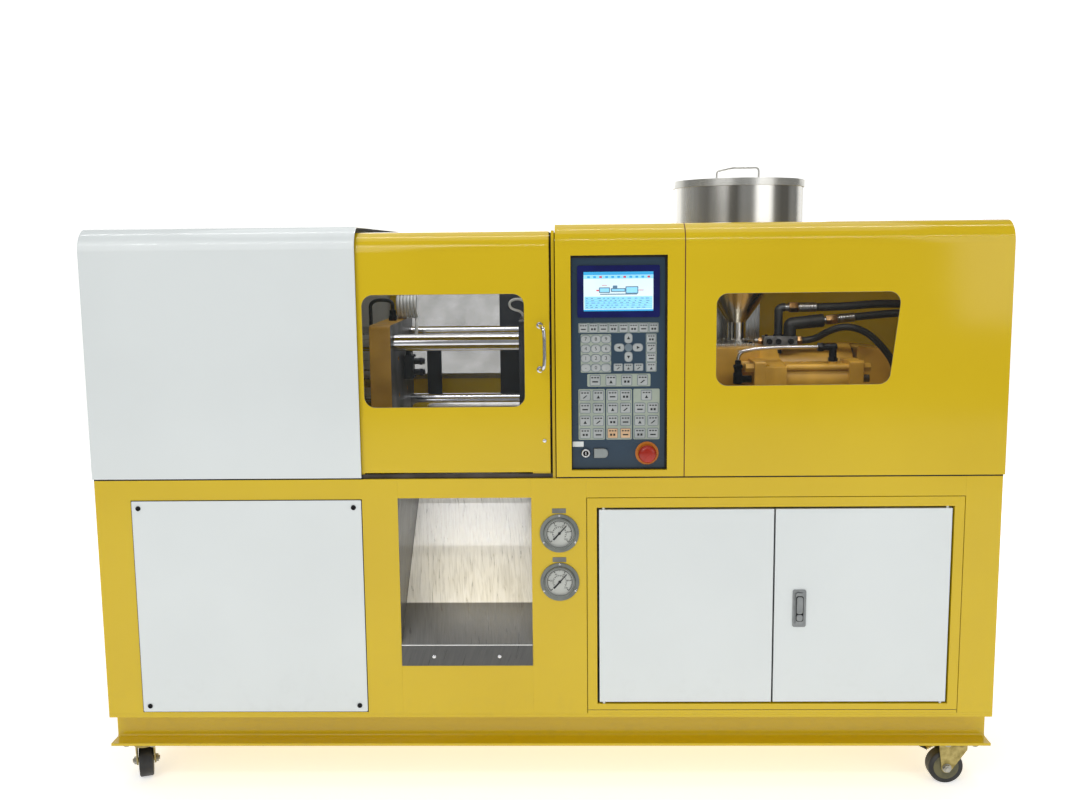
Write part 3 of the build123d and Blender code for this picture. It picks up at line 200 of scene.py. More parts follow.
@dataclass(frozen=True)
class Finish:
    """One real material with the way its surface was made.

    Attributes:
        name: what a maker calls the finish.
        colour: main colour, sRGB hex.
        shade: colour of its darker places, sRGB hex.
        roughness: typical value for the surface.
        metallic: 1 for bare or plated metal.
        ior: index of refraction, unused by metals.
    """

    name: str
    colour: str
    shade: str
    roughness: float
    metallic: float = 0.0
    ior: float = 1.5

    def material(self) -> bpy.types.Material:
        """Give this finish's material, made the first time it is asked for."""
        found = bpy.data.materials.get(self.name)
        if found:
            return found
        material = bpy.data.materials.new(self.name)
        material.use_nodes = True
        tree = material.node_tree
        tree.nodes.clear()
        settings = {"Base Color": linear_colour(self.colour), "Roughness": self.roughness,
                    "Metallic": self.metallic}
        if self.metallic == 0.0:
            settings["IOR"] = self.ior
        shader = add_node(tree, "BsdfPrincipled", settings)
        add_node(tree, "OutputMaterial", links={"Surface": shader.outputs[0]})
        self.detail(Skin(tree, shader, add_node(tree, "TexCoord").outputs["Object"]))
        return material

    def colour_between(self, skin: Skin, factor: Socket, low: float, high: float) -> Socket:
        """Let the base colour go from shade to main colour as a pattern rises.

        Args:
            skin: the material's nodes.
            factor: the pattern.
            low: pattern value that gives the shade.
            high: pattern value that gives the main colour.

        Returns:
            The mixed colour.
        """
        mixed = add_node(skin.tree, "Mix", {"data_type": "RGBA", 6: linear_colour(self.shade),
                                            7: linear_colour(self.colour)}, {0: skin.span(factor, low, high)})
        skin.tree.links.new(mixed.outputs[2], skin.shader.inputs["Base Color"])
        return mixed.outputs[2]

    def cover(self, skin: Skin, under: Socket, share: Socket, colour: str) -> None:
        """Lay a second colour over the base colour.

        Args:
            skin: the material's nodes.
            under: the base colour so far.
            share: how much of it is covered.
            colour: the second colour, sRGB hex.
        """
        mixed = add_node(skin.tree, "Mix", {"data_type": "RGBA", 7: linear_colour(colour)}, {0: share, 6: under})
        skin.tree.links.new(mixed.outputs[2], skin.shader.inputs["Base Color"])

    def roughness_between(self, skin: Skin, factor: Socket, spread: float) -> None:
        """Let the roughness wander round its typical value.

        Args:
            skin: the material's nodes.
            factor: the pattern that drives it.
            spread: how far it goes either way.
        """
        rough = skin.span(factor, 0.3, 0.7, max(self.roughness - spread, 0.02), self.roughness + spread)
        skin.tree.links.new(rough, skin.shader.inputs["Roughness"])

    def detail(self, skin: Skin) -> None:
        """Add the surface's own pattern, which each kind of finish gives."""
        raise NotImplementedError


@dataclass(frozen=True)
class SprayedEnamel(Finish):
    """Two-pack enamel sprayed on sheet steel: a deep colour under a gloss with faint orange peel.

    Attributes:
        peel: size of the orange peel in millimetres, real 1 to 2, drawn coarser so that it shows.
        edge: rounding of folded edges in millimetres.
        grime: share of handling dirt in the low places.
        dust: colour of that dirt, sRGB hex.
    """

    peel: float = 5.0
    edge: float = 1.2
    grime: float = 0.08
    dust: str = "#6E6248"

    def detail(self, skin: Skin) -> None:
        """Add colour drift, floor dust, edge shine and orange peel.

        Args:
            skin: the material's nodes.
        """
        drift = skin.grain(420.0, octaves=3.0)
        mixed = self.colour_between(skin, drift, 0.25, 0.62)
        # Dust from the shop floor clings to the lowest quarter metre
        height = add_node(skin.tree, "SeparateXYZ", links={0: skin.place}).outputs["Z"]
        spots = skin.span(skin.grain(26.0, octaves=6.0), 0.52, 0.75)
        dirt = skin.sum("MULTIPLY", skin.span(height, 0.34, 0.10), spots)
        share = add_node(skin.tree, "Math", {"operation": "MULTIPLY", 1: self.grime}, {0: dirt}).outputs[0]
        self.cover(skin, mixed, share, self.dust)
        self.roughness_between(skin, drift, 0.02)
        skin.relief(skin.grain(self.peel), 0.06, 0.35, self.edge)


@dataclass(frozen=True)
class CastingEnamel(Finish):
    """Brushed-on enamel over a sand casting: thick, softly pitted and a little oily.

    Attributes:
        milled_face_shade: near-black colour of the milled faces that look along the machine, painted shade on real
            milled faces, none where the paint covers all.
    """

    milled_face_shade: str = ""

    def detail(self, skin: Skin) -> None:
        """Add sand-cast waviness, oil film, rounded arrises and the milled faces, coloured near black as painted
        shade.

        Args:
            skin: the material's nodes.
        """
        oil = skin.grain(85.0, octaves=4.0)
        mixed = self.colour_between(skin, oil, 0.3, 0.6)
        self.roughness_between(skin, oil, 0.12)
        skin.relief(skin.grain(9.0, octaves=5.0), 0.5, 0.5, 2.0)
        if self.milled_face_shade:
            # Milled faces that carry a mould, left bare; their near-black colour is painted shade
            facing = add_node(skin.tree, "NewGeometry").outputs["True Normal"]
            along = add_node(skin.tree, "SeparateXYZ", links={0: facing}).outputs["X"]
            both = add_node(skin.tree, "Math", {"operation": "ABSOLUTE"}, {0: along}).outputs[0]
            self.cover(skin, mixed, skin.span(both, 0.7, 0.8), self.milled_face_shade)


@dataclass(frozen=True)
class BrushedMetal(Finish):
    """Stainless or plated steel with directional polishing marks that draw reflections out.

    Attributes:
        lay: direction of the marks.
        mark: width of one mark in millimetres, real about 0.2, drawn coarser so that it shows.
        spangle: size in millimetres of plating cloudiness.
    """

    lay: Lay = Lay.EVEN
    mark: float = 1.2
    spangle: float = 60.0

    def detail(self, skin: Skin) -> None:
        """Add polishing marks under cloudy plating.

        Args:
            skin: the material's nodes.
        """
        marks = skin.grain(self.mark, self.lay, 4.0)
        self.colour_between(skin, skin.grain(self.spangle, octaves=3.0), 0.3, 0.65)
        self.roughness_between(skin, marks, 0.10)
        skin.relief(marks, 0.03, 0.35, 0.6)


@dataclass(frozen=True)
class WornStainlessPaintedLight(BrushedMetal):
    """Hand-ground stainless sheet with scratches, whose colour carries painted light: a painted reflection on the
    upper sheet and painted shade on the lip, the slope and the side plates.

    Attributes:
        lip: Z of the lip's top in millimetres.
        fold: Z of the fold under the brightly painted upper sheet in millimetres.
        sides: X of the two side plates' inner faces in millimetres.
        scratch: width of one scratch in millimetres, real under 1, drawn coarser so that it shows.
    """

    lip: float = 352.0
    fold: float = 424.5
    sides: Spot = (-330.3, -31.5)
    scratch: float = 5.0

    def detail(self, skin: Skin) -> None:
        """Add painted shade on the lip, the slope and the side plates, a painted reflection on the upper sheet,
        scratches and grinding marks.

        Args:
            skin: the material's nodes.
        """
        axes = add_node(skin.tree, "SeparateXYZ", links={0: skin.place}).outputs

        def step(axis: str, at: float, half: float, least: float, most: float) -> Socket:
            """Give a value that goes from least to most across a place on an axis."""
            return skin.span(axes[axis], (at - half) * MM, (at + half) * MM, least, most)

        # Painted shade below the fold, darkest on the lip, and a painted reflection on the sheet above the fold
        tone = skin.sum("ADD", step("Z", self.lip, 1, 0.08, 0.16), step("Z", self.fold, 1, 0.0, 0.84))
        # The side plates are held dark: painted shade
        left, right = self.sides
        side_plate_shade = skin.sum("MINIMUM", step("X", left, 0.5, 0.10, 1.0), step("X", right, -0.5, 0.10, 1.0))
        slant = add_node(skin.tree, "Mapping", {"vector_type": "TEXTURE", "Rotation": (0.0, 0.3, 0.35),
                                                "Scale": (1.0, 14.0, 14.0)}, {"Vector": skin.place}).outputs[0]
        scratches = add_node(skin.tree, "TexNoise", {"Scale": 1000 / self.scratch, "Detail": 5.0, "Distortion": 0.8},
                             {"Vector": slant}).outputs["Fac"]
        wear = skin.span(scratches, 0.3, 0.7, 0.74, 1.12)
        self.colour_between(skin, skin.sum("MULTIPLY", skin.sum("MINIMUM", tone, side_plate_shade), wear), 0.0, 1.0)
        self.roughness_between(skin, scratches, 0.08)
        skin.relief(skin.grain(self.mark, self.lay, 4.0), 0.03, 0.35, 0.6)


@dataclass(frozen=True)
class RolledStainlessPaintedReflection(BrushedMetal):
    """Stainless sheet rolled into a drum and a cone, with upright light and dark bars in its colour that are painted
    reflection.

    Attributes:
        axis: X and Y of the rolled body's upright axis in millimetres.
        bars: number of painted reflection bars round the body.
    """

    axis: Spot = (478.0, 0.0)
    bars: float = 16.0

    def detail(self, skin: Skin) -> None:
        """Add the painted reflection bars round the axis and upright polishing marks.

        Args:
            skin: the material's nodes.
        """
        centred = add_node(skin.tree, "Mapping", {"Location": (-self.axis[0] * MM, -self.axis[1] * MM, 0.0)},
                           {"Vector": skin.place}).outputs[0]
        angle = add_node(skin.tree, "TexGradient", {"gradient_type": "RADIAL"}, {"Vector": centred}).outputs["Fac"]
        # Light and dark upright bars round the axis, laid into the base colour: painted reflection
        bars = add_node(skin.tree, "TexNoise", {"noise_dimensions": "1D", "Scale": self.bars, "Detail": 1.0},
                        {"W": angle}).outputs["Fac"]
        self.colour_between(skin, bars, 0.36, 0.60)
        self.roughness_between(skin, bars, 0.06)
        skin.relief(skin.grain(self.mark, self.lay, 4.0), 0.02, 0.25, 0.6)


@dataclass(frozen=True)
class BackdropPaper(Finish):
    """Matt white paper roll, lit through so that it stays close to white behind the machine.

    Attributes:
        glow: emission strength.
    """

    glow: float = 0.62

    def detail(self, skin: Skin) -> None:
        """Add the paper's fibre and its even glow.

        Args:
            skin: the material's nodes.
        """
        self.colour_between(skin, skin.grain(30.0), 0.2, 0.6)
        skin.shader.inputs["Emission Color"].default_value = linear_colour(self.colour)
        skin.shader.inputs["Emission Strength"].default_value = self.glow


@dataclass(frozen=True)
class MouldedPolymer(Finish):
    """Injection-moulded plastic or rubber with the fine spark texture of its mould.

    Attributes:
        texture: size of the spark texture in millimetres.
        depth: its depth in millimetres.
        edge: rounding of its edges in millimetres.
    """

    texture: float = 1.5
    depth: float = 0.05
    edge: float = 0.5

    def detail(self, skin: Skin) -> None:
        """Add the mould's texture and finger wear.

        Args:
            skin: the material's nodes.
        """
        wear = skin.grain(30.0, octaves=3.0)
        self.colour_between(skin, wear, 0.25, 0.6)
        self.roughness_between(skin, wear, 0.07)
        skin.relief(skin.grain(self.texture), self.depth, 0.5, self.edge)


@dataclass(frozen=True)
class WrappedHose(Finish):
    """Vulcanised rubber hose cured in a cloth wrap, which leaves a fine cross weave.

    Attributes:
        weave: thread spacing in millimetres, real about 1, drawn coarser so that it shows.
    """

    weave: float = 2.2

    def detail(self, skin: Skin) -> None:
        """Add the cloth impression and a dusty bloom.

        Args:
            skin: the material's nodes.
        """
        bloom = skin.grain(22.0, octaves=4.0)
        self.colour_between(skin, bloom, 0.35, 0.7)
        self.roughness_between(skin, bloom, 0.1)
        threads = add_node(skin.tree, "TexWave", {"Scale": 1000 / self.weave / 20, "Distortion": 1.5},
                           {"Vector": skin.place}).outputs["Fac"]
        skin.relief(threads, 0.15, 0.5)


@dataclass(frozen=True)
class ClearSheet(Finish):
    """Extruded polycarbonate: almost no body colour, faint haze of wiping marks, glossy skin.

    Attributes:
        body: how much of the sheet itself shows.
    """

    body: float = 0.014

    def detail(self, skin: Skin) -> None:
        """Add wiping haze to the sheet's opacity.

        Args:
            skin: the material's nodes.
        """
        haze = skin.grain(70.0, octaves=3.0)
        opacity = skin.span(haze, 0.0, 1.0, self.body * 0.7, self.body * 1.4)
        skin.tree.links.new(opacity, skin.shader.inputs["Alpha"])
        self.roughness_between(skin, haze, 0.02)


@dataclass(frozen=True)
class LitFilm(Finish):
    """Backlit film of a display: even light with the faint grid of its cells.

    Attributes:
        light: emission strength.
    """

    light: float = 0.9

    def detail(self, skin: Skin) -> None:
        """Add the backlight and a slow change of tone over the film.

        Args:
            skin: the material's nodes.
        """
        mixed = self.colour_between(skin, skin.grain(120.0), 0.2, 0.6)
        skin.tree.links.new(mixed, skin.shader.inputs["Emission Color"])
        skin.shader.inputs["Emission Strength"].default_value = self.light


class Paint:
    """The finishes of this machine, each matched to the photograph."""

    SHEET_YELLOW = SprayedEnamel("two_pack_enamel_yellow", "#D6B716", "#D0B012", 0.11)
    SHEET_WHITE = SprayedEnamel("two_pack_enamel_white", "#DFE4E4", "#DADFDF", 0.12)
    CAST_YELLOW = CastingEnamel("casting_enamel_yellow", "#D9A93E", "#AE842C", 0.38)
    # The moving platen's milled faces are coloured near black: painted shade
    CAST_OCHRE = CastingEnamel("casting_enamel_ochre", "#CB9C3A", "#AE842E", 0.45, milled_face_shade="#1D1F24")
    # Dark slate enamel; on the fixed platen it is painted shade
    CAST_DARK = CastingEnamel("casting_enamel_slate", "#3A3F47", "#24272D", 0.42)
    STAINLESS_UP = BrushedMetal("stainless_brushed_upright", "#C9C9C6", "#B2B1AC", 0.24, 1.0, lay=Lay.UPRIGHT)
    STAINLESS_CHUTE = WornStainlessPaintedLight("stainless_ground_chute", "#FBFBFA", "#1E1E1B", 0.34, 0.25, lay=Lay.ALONG_Y)
    STAINLESS_ROUND = RolledStainlessPaintedReflection("stainless_rolled", "#ECEAE4", "#969289", 0.22, 1.0, lay=Lay.UPRIGHT, mark=2.5)
    STAINLESS_LID = BrushedMetal("stainless_spun_lid", "#DCDBD6", "#C4C2BB", 0.28, 1.0)
    CHROME = BrushedMetal("hard_chrome_ground", "#DEDEE0", "#C9C9CC", 0.10, 1.0, lay=Lay.AROUND_X, mark=0.8)
    ZINC = BrushedMetal("zinc_plate_clear", "#B9B7AF", "#8F8C82", 0.36, 1.0, spangle=18.0)
    ZINC_OLIVE = BrushedMetal("zinc_plate_yellow", "#B5A56C", "#8A7C4A", 0.38, 1.0, spangle=14.0)
    STEEL = BrushedMetal("steel_turned", "#8E8E8E", "#6B6B6A", 0.34, 1.0, spangle=12.0)
    PIPE = CastingEnamel("steel_pipe_phosphated", "#3E4043", "#2A2C2E", 0.40, 0.6)
    BRASS = BrushedMetal("brass_turned", "#A4855F", "#7C6144", 0.30, 1.0, spangle=8.0)
    BLACK_OXIDE = BrushedMetal("steel_black_oxide", "#2B2B2D", "#1A1A1B", 0.35, 1.0, spangle=6.0)
    HOSE = WrappedHose("rubber_wrapped_hose", "#0A0A0B", "#121213", 0.55)
    RUBBER = MouldedPolymer("rubber_moulded_black", "#0D0D0D", "#181818", 0.55, texture=2.5, depth=0.1)
    TREAD = MouldedPolymer("polyurethane_tread_black", "#1D1D1E", "#303030", 0.50, texture=2.0, depth=0.1)
    SEAL = MouldedPolymer("sponge_rubber_seal", "#141414", "#1F1F1F", 0.80, texture=1.2, depth=0.3)
    # Dark rail colour: painted shade of the gap under the doors
    RAIL = BrushedMetal("steel_rail_oiled", "#5A5550", "#45413D", 0.38, 1.0, lay=Lay.ALONG_X)
    PANE = ClearSheet("polycarbonate_clear", "#9AA3A6", "#9AA3A6", 0.05, ior=1.58)
    PANE_DUSTY = ClearSheet("polycarbonate_dusty", "#8F9091", "#878889", 0.16, ior=1.58, body=0.42)
    PANEL_BLUE = SprayedEnamel("panel_enamel_blue_grey", "#293F51", "#243849", 0.28, edge=0.4, grime=0.0)
    NAVY = MouldedPolymer("acrylic_navy_gloss", "#0A1258", "#080E48", 0.12, texture=4.0, depth=0.01)
    KEY_GREY = MouldedPolymer("membrane_key_grey", "#A9ADAD", "#9BA0A0", 0.48)
    KEY_EDGE = MouldedPolymer("membrane_key_surround", "#6E7C84", "#62707A", 0.50)
    KEY_GROUND = MouldedPolymer("membrane_ground_beige", "#9FA89B", "#939C90", 0.55)
    KEY_ORANGE = MouldedPolymer("membrane_key_orange", "#D2B08C", "#C4A17C", 0.48)
    INK = MouldedPolymer("printing_ink_dark", "#14181A", "#0E1112", 0.6, edge=0.0)
    RED = MouldedPolymer("abs_red_gloss", "#A82412", "#96200E", 0.28, texture=3.0, depth=0.02)
    ORANGE = MouldedPolymer("abs_orange", "#C9761E", "#B96A16", 0.34, texture=3.0, depth=0.02)
    FLAP = MouldedPolymer("tpe_flap_grey", "#8F9594", "#848A89", 0.50)
    NYLON = MouldedPolymer("nylon_tube_white", "#EEF0F0", "#DDE0E0", 0.30, texture=3.0, depth=0.02)
    GAUGE = BrushedMetal("steel_nickel_plated", "#7E827E", "#6C706C", 0.36, 0.7, spangle=26.0)
    # Near-white bead for the fold over the chute's lip: painted highlight
    FOLD_HIGHLIGHT = BrushedMetal("stainless_worn_edge", "#F4F4F2", "#E6E6E2", 0.45, 0.3, lay=Lay.ALONG_X)
    LOCK_GREY = BrushedMetal("zinc_die_cast_satin", "#8E9192", "#828586", 0.38, 0.6, spangle=14.0)
    NAVY_FITTING = MouldedPolymer("polyamide_fitting_navy", "#1A2138", "#12182A", 0.34, texture=2.0)
    HUB = MouldedPolymer("polyamide_hub_dusty", "#6A6647", "#413F2E", 0.60, texture=2.0)
    BEZEL = BrushedMetal("stainless_polished", "#D8D8D8", "#BFBFBF", 0.14, 1.0, spangle=20.0)
    DIAL = MouldedPolymer("aluminium_dial_white", "#BDBFB9", "#B2B4AE", 0.40, edge=0.0)
    PLATE = BrushedMetal("aluminium_plate_bare", "#8B8C88", "#6F706C", 0.40, 1.0, lay=Lay.ALONG_X, mark=0.6)
    JOINT_RED = MouldedPolymer("primer_oxide_red", "#5E1D14", "#43130D", 0.60)
    SCREEN_PALE = LitFilm("lcd_film_pale", "#DCEBF1", "#C6E0EB", 0.5, light=0.36)
    SCREEN_CYAN = LitFilm("lcd_film_cyan", "#8FD2EE", "#7CC6E8", 0.5, light=0.42)
    SCREEN_BLUE = LitFilm("lcd_film_blue", "#2E9BD0", "#2490C6", 0.5, light=0.50)
    SCREEN_LINE = LitFilm("lcd_film_slate", "#5A7C96", "#4C6E88", 0.5, light=0.35)
    SCREEN_RED = LitFilm("lcd_film_red", "#C8455A", "#B83A50", 0.5, light=0.4)


def dress(nodes: str, finish: Finish) -> None:
    """Give carried-over CAD nodes a finish.

    Args:
        nodes: node names with spaces between them.
        finish: the finish they get.
    """
    for name in nodes.split():
        slots = frame["nodes"][name].data.materials
        slots.clear()
        slots.append(finish.material())


def linked(name: str, data: bpy.types.ID) -> bpy.types.Object:
    """Put new data into the scene as an object.

    Args:
        name: the object's name.
        data: its mesh, curve, light or camera.

    Returns:
        The object.
    """
    made = bpy.data.objects.new(name, data)
    bpy.context.scene.collection.objects.link(made)
    return made


def circle(count: int, radius: float, start: float = 0.0) -> list[Spot]:
    """Give places evenly round a circle.

    Args:
        count: number of places.
        radius: the circle's radius.
        start: share of a step that the first place is turned by.

    Returns:
        The places, measured from the circle's centre.
    """
    turns = [math.tau * (step + start) / count for step in range(count)]
    return [(radius * math.cos(turn), radius * math.sin(turn)) for turn in turns]


def square_axes(axis: Vector) -> tuple[Vector, Vector]:
    """Give two unit directions square to an axis and to each other.

    Args:
        axis: the axis, of any length.

    Returns:
        The two directions.
    """
    way = axis.normalized()
    helper = Vector(UP) if abs(way.z) < 0.9 else Vector(RIGHT)
    first = helper.cross(way).normalized()
    return first, way.cross(first)


def rounded_outline(corners: list[Spot], radius: float, steps: int = 6) -> list[Spot]:
    """Round the corners of a convex outline.

    Args:
        corners: its corners in order.
        radius: corner radius in millimetres.
        steps: segments in each corner.

    Returns:
        The rounded outline's points.
    """
    points: list[Spot] = []
    count = len(corners)
    for i, corner in enumerate(corners):
        here = Vector(corner)
        back = (Vector(corners[i - 1]) - here).normalized()
        on = (Vector(corners[(i + 1) % count]) - here).normalized()
        half = back.angle(on) / 2
        centre = here + (back + on).normalized() * (radius / math.sin(half))
        start = here + back * (radius / math.tan(half)) - centre
        turn = math.pi - 2 * half
        sign = 1 if back.x * on.y - back.y * on.x < 0 else -1
        for step in range(steps + 1):
            angle = sign * turn * step / steps
            c, s = math.cos(angle), math.sin(angle)
            points.append((centre.x + start.x * c - start.y * s, centre.y + start.x * s + start.y * c))
    return points


def rectangle(rect: Rect, radius: float = 0.0, steps: int = 5) -> list[Spot]:
    """Give the outline of a rectangle, rounded where asked.

    Args:
        rect: lowest and highest first value, then lowest and highest second value.
        radius: corner radius in millimetres.
        steps: segments in each corner.

    Returns:
        The outline's points.
    """
    x0, x1, z0, z1 = rect
    corners = [(x0, z0), (x1, z0), (x1, z1), (x0, z1)]
    return rounded_outline(corners, radius, steps) if radius else corners


class Shape:
    """A mesh under construction, in millimetres, that becomes one named piece."""

    def __init__(self, name: str) -> None:
        """Start an empty shape."""
        self.name = name
        self.mesh = bmesh.new()

    def loft(self, rings: list[list[Point]], caps: bool = True, cyclic: bool = False) -> "Shape":
        """Skin a row of rings with the same number of points.

        Args:
            rings: the rings in order.
            caps: whether the first and last ring are filled.
            cyclic: whether the last ring joins the first.

        Returns:
            This shape.
        """
        rows = [[self.mesh.verts.new(Vector(p) * MM) for p in ring] for ring in rings]
        pairs = list(zip(rows, rows[1:])) + ([(rows[-1], rows[0])] if cyclic else [])
        for lower, upper in pairs:
            for i in range(len(lower)):
                j = (i + 1) % len(lower)
                self.mesh.faces.new((lower[i], lower[j], upper[j], upper[i]))
        if caps and not cyclic:
            self.mesh.faces.new(rows[0])
            self.mesh.faces.new(rows[-1])
        return self

    def plate(self, outline: list[Spot], face: float, thickness: float,
              chamfer: float = 0.4) -> "Shape":
        """Stand a plate up facing the operator, with a fine chamfer round its face.

        Args:
            outline: its outline in X and Z.
            face: Y of its face.
            thickness: how far it goes back from the face, below 0 for towards the operator.
            chamfer: size of the chamfer.

        Returns:
            This shape.
        """
        mid = Vector((sum(x for x, _ in outline), sum(z for _, z in outline))) / len(outline)
        sign = 1 if thickness > 0 else -1

        def ring(y: float, shrink: float) -> list[Point]:
            """Give the outline at one depth, pulled in by a distance."""
            return [(x - shrink * (Vector((x, z)) - mid).normalized().x, y,
                     z - shrink * (Vector((x, z)) - mid).normalized().y) for x, z in outline]

        return self.loft([ring(face, chamfer), ring(face + sign * chamfer, 0), ring(face + thickness, 0)])

    def box(self, x: Spot, y: Spot, z: Spot,
            chamfer: float = 0.8) -> "Shape":
        """Make a block with chamfered upright edges and rims.

        Args:
            x: lowest and highest X.
            y: lowest and highest Y.
            z: lowest and highest Z.
            chamfer: size of the chamfer.

        Returns:
            This shape.
        """
        rings = []
        for level, shrink in ((z[0], chamfer), (z[0] + chamfer, 0), (z[1] - chamfer, 0), (z[1], chamfer)):
            outline = rectangle((x[0] + shrink, x[1] - shrink, y[0] + shrink, y[1] - shrink), chamfer, 1)
            rings.append([(px, py, level) for px, py in outline])
        return self.loft(rings)

    def border(self, rect: Rect, width: float, face: float, depth: float) -> "Shape":
        """Lay a flat frame round a rectangle that faces the operator.

        Args:
            rect: X0, X1, Z0 and Z1 of the frame's inner edge.
            width: width of its bars.
            face: Y of its face.
            depth: how far it goes back from the face.

        Returns:
            This shape.
        """
        x0, x1, z0, z1 = rect
        outer, inner = rectangle((x0 - width, x1 + width, z0 - width, z1 + width)), rectangle(rect)
        rings = [[(x, y, z) for x, z in line] for line, y in ((outer, face), (outer, face + depth),
                                                              (inner, face + depth), (inner, face))]
        return self.loft(rings, cyclic=True)

    def turned(self, start: Point, axis: Point, profile: list[Spot], sides: int = 32,
               open_ring: bool = False) -> "Shape":
        """Turn a profile about an axis, or shape it with flats when the sides are few.

        Args:
            start: where the profile starts on the axis.
            axis: direction of the axis.
            profile: distances along the axis with their radii.
            sides: number of sides.
            open_ring: True for a ring whose profile closes on itself, with nothing over its middle.

        Returns:
            This shape.
        """
        way = Vector(axis).normalized()
        first, second = square_axes(way)
        outward = [first * c + second * s for c, s in circle(sides, 1.0)]
        rings = [[Vector(start) + way * along + out * max(radius, 0.01) for out in outward]
                 for along, radius in profile]
        return self.loft(rings, cyclic=open_ring)

    def nut(self, start: Point, axis: Point, length: float, radius: float) -> "Shape":
        """Make a hexagon with the chamfered ends of a turned nut.

        Args:
            start: centre of its first face.
            axis: direction of its axis.
            length: its length.
            radius: its radius over the corners.

        Returns:
            This shape.
        """
        edge = min(length * 0.15, radius * 0.14)
        return self.turned(start, axis, [(0, radius * 0.9), (edge, radius), (length - edge, radius),
                                         (length, radius * 0.9)], sides=6)

    def screw(self, centre: Point, axis: Point, radius: float, rise: float, socket: bool = False) -> "Shape":
        """Make a screw head that stands on a surface.

        Args:
            centre: where its axis meets the surface.
            axis: direction away from the surface.
            radius: head radius.
            rise: head height.
            socket: True for a cylinder head with a hexagon socket, False for a pan head.

        Returns:
            This shape.
        """
        profile = [(-0.3, radius), (rise * 0.4, radius * 0.98), (rise * 0.8, radius * 0.75), (rise, radius * 0.35)]
        if socket:
            profile = [(-0.5, radius), (rise - 0.5, radius), (rise, radius - 0.5), (rise, radius * 0.55),
                       (rise * 0.45, radius * 0.5)]
        return self.turned(centre, axis, profile, 18)

    def finish(self, look: Finish, body: str = "machine", slot: str | None = None,
               smooth: float = 35.0, stands_for: str = "") -> bpy.types.Object:
        """Turn the shape into a dressed piece on its body.

        Args:
            look: its finish.
            body: CAD body it rides on.
            slot: the record's material slot; not used.
            smooth: edges sharper than this angle in degrees stay sharp.
            stands_for: CAD nodes it replaces, with spaces between them.

        Returns:
            The piece.
        """
        bmesh.ops.recalc_face_normals(self.mesh, faces=self.mesh.faces)
        data = bpy.data.meshes.new(self.name)
        self.mesh.to_mesh(data)
        self.mesh.free()
        for polygon in data.polygons:
            polygon.use_smooth = True
        data.set_sharp_from_angle(angle=math.radians(smooth))
        return place_piece(linked(self.name, data), look, body, stands_for)


def place_piece(piece: bpy.types.Object, look: Finish, body: str,
                stands_for: str = "") -> bpy.types.Object:
    """Dress a piece and hand it to the body that carries it.

    Args:
        piece: the piece.
        look: its finish.
        body: CAD body it rides on.
        stands_for: CAD nodes it replaces, with spaces between them.

    Returns:
        The piece.
    """
    piece.data.materials.clear()
    piece.data.materials.append(look.material())
    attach(piece, body)
    if stands_for:
        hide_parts(*stands_for.split())
    return piece


def bent_tube(name: str, points: list[Point], radius: float, look: Finish, body: str = "machine",
              stands_for: str = "", cyclic: bool = False,
              straight: bool = False) -> bpy.types.Object:
    """Bend a round tube, hose or bead along a smooth line.

    Args:
        name: the piece's name.
        points: control points in millimetres.
        radius: the tube's radius.
        look: its finish.
        body: CAD body it rides on.
        stands_for: CAD nodes it replaces.
        cyclic: whether the line closes.
        straight: True to join the points with straight runs.

    Returns:
        The curve piece.
    """
    data = bpy.data.curves.new(name, "CURVE")
    data.dimensions = "3D"
    spline = data.splines.new("POLY" if straight else "NURBS")
    spline.points.add(len(points) - 1)
    for target, point in zip(spline.points, points):
        target.co = (*(Vector(point) * MM), 1.0)
    spline.use_cyclic_u = cyclic
    if not straight:
        spline.order_u = 3
        spline.use_endpoint_u = not cyclic
        spline.resolution_u = 12
    data.bevel_depth = radius * MM
    data.bevel_resolution = 5
    data.use_fill_caps = not cyclic
    return place_piece(linked(name, data), look, body, stands_for)


def number_marks(name: str, marks: list[tuple[str, float, float]], face: float, size: float, look: Finish,
                 body: str = "machine") -> bpy.types.Object:
    """Print numbers on a surface that faces the operator.

    Args:
        name: the piece's name.
        marks: each number with the X and Z of its centre.
        face: Y of the surface.
        size: height of the figures in millimetres.
        look: the ink.
        body: CAD body it rides on.

    Returns:
        One mesh piece with all the numbers.
    """
    joined = bmesh.new()
    for index, (text, x, z) in enumerate(marks):
        data = bpy.data.curves.new(f"{name}_{index}", "FONT")
        data.body = text
        data.size = size * 1.35 * MM
        data.align_x = "CENTER"
        data.align_y = "CENTER"
        data.resolution_u = 2
        holder = linked(f"{name}_{index}", data)
        bpy.context.view_layer.update()
        flat = bpy.data.meshes.new_from_object(holder)
        flat.transform(Matrix.Translation(Vector((x, face - 0.06, z)) * MM) @ Matrix.Rotation(math.pi / 2, 4, "X"))
        joined.from_mesh(flat)
        bpy.data.meshes.remove(flat)
        bpy.data.objects.remove(holder)
        bpy.data.curves.remove(data)
    mesh = bpy.data.meshes.new(name)
    joined.to_mesh(mesh)
    joined.free()
    return place_piece(linked(name, mesh), look, body)


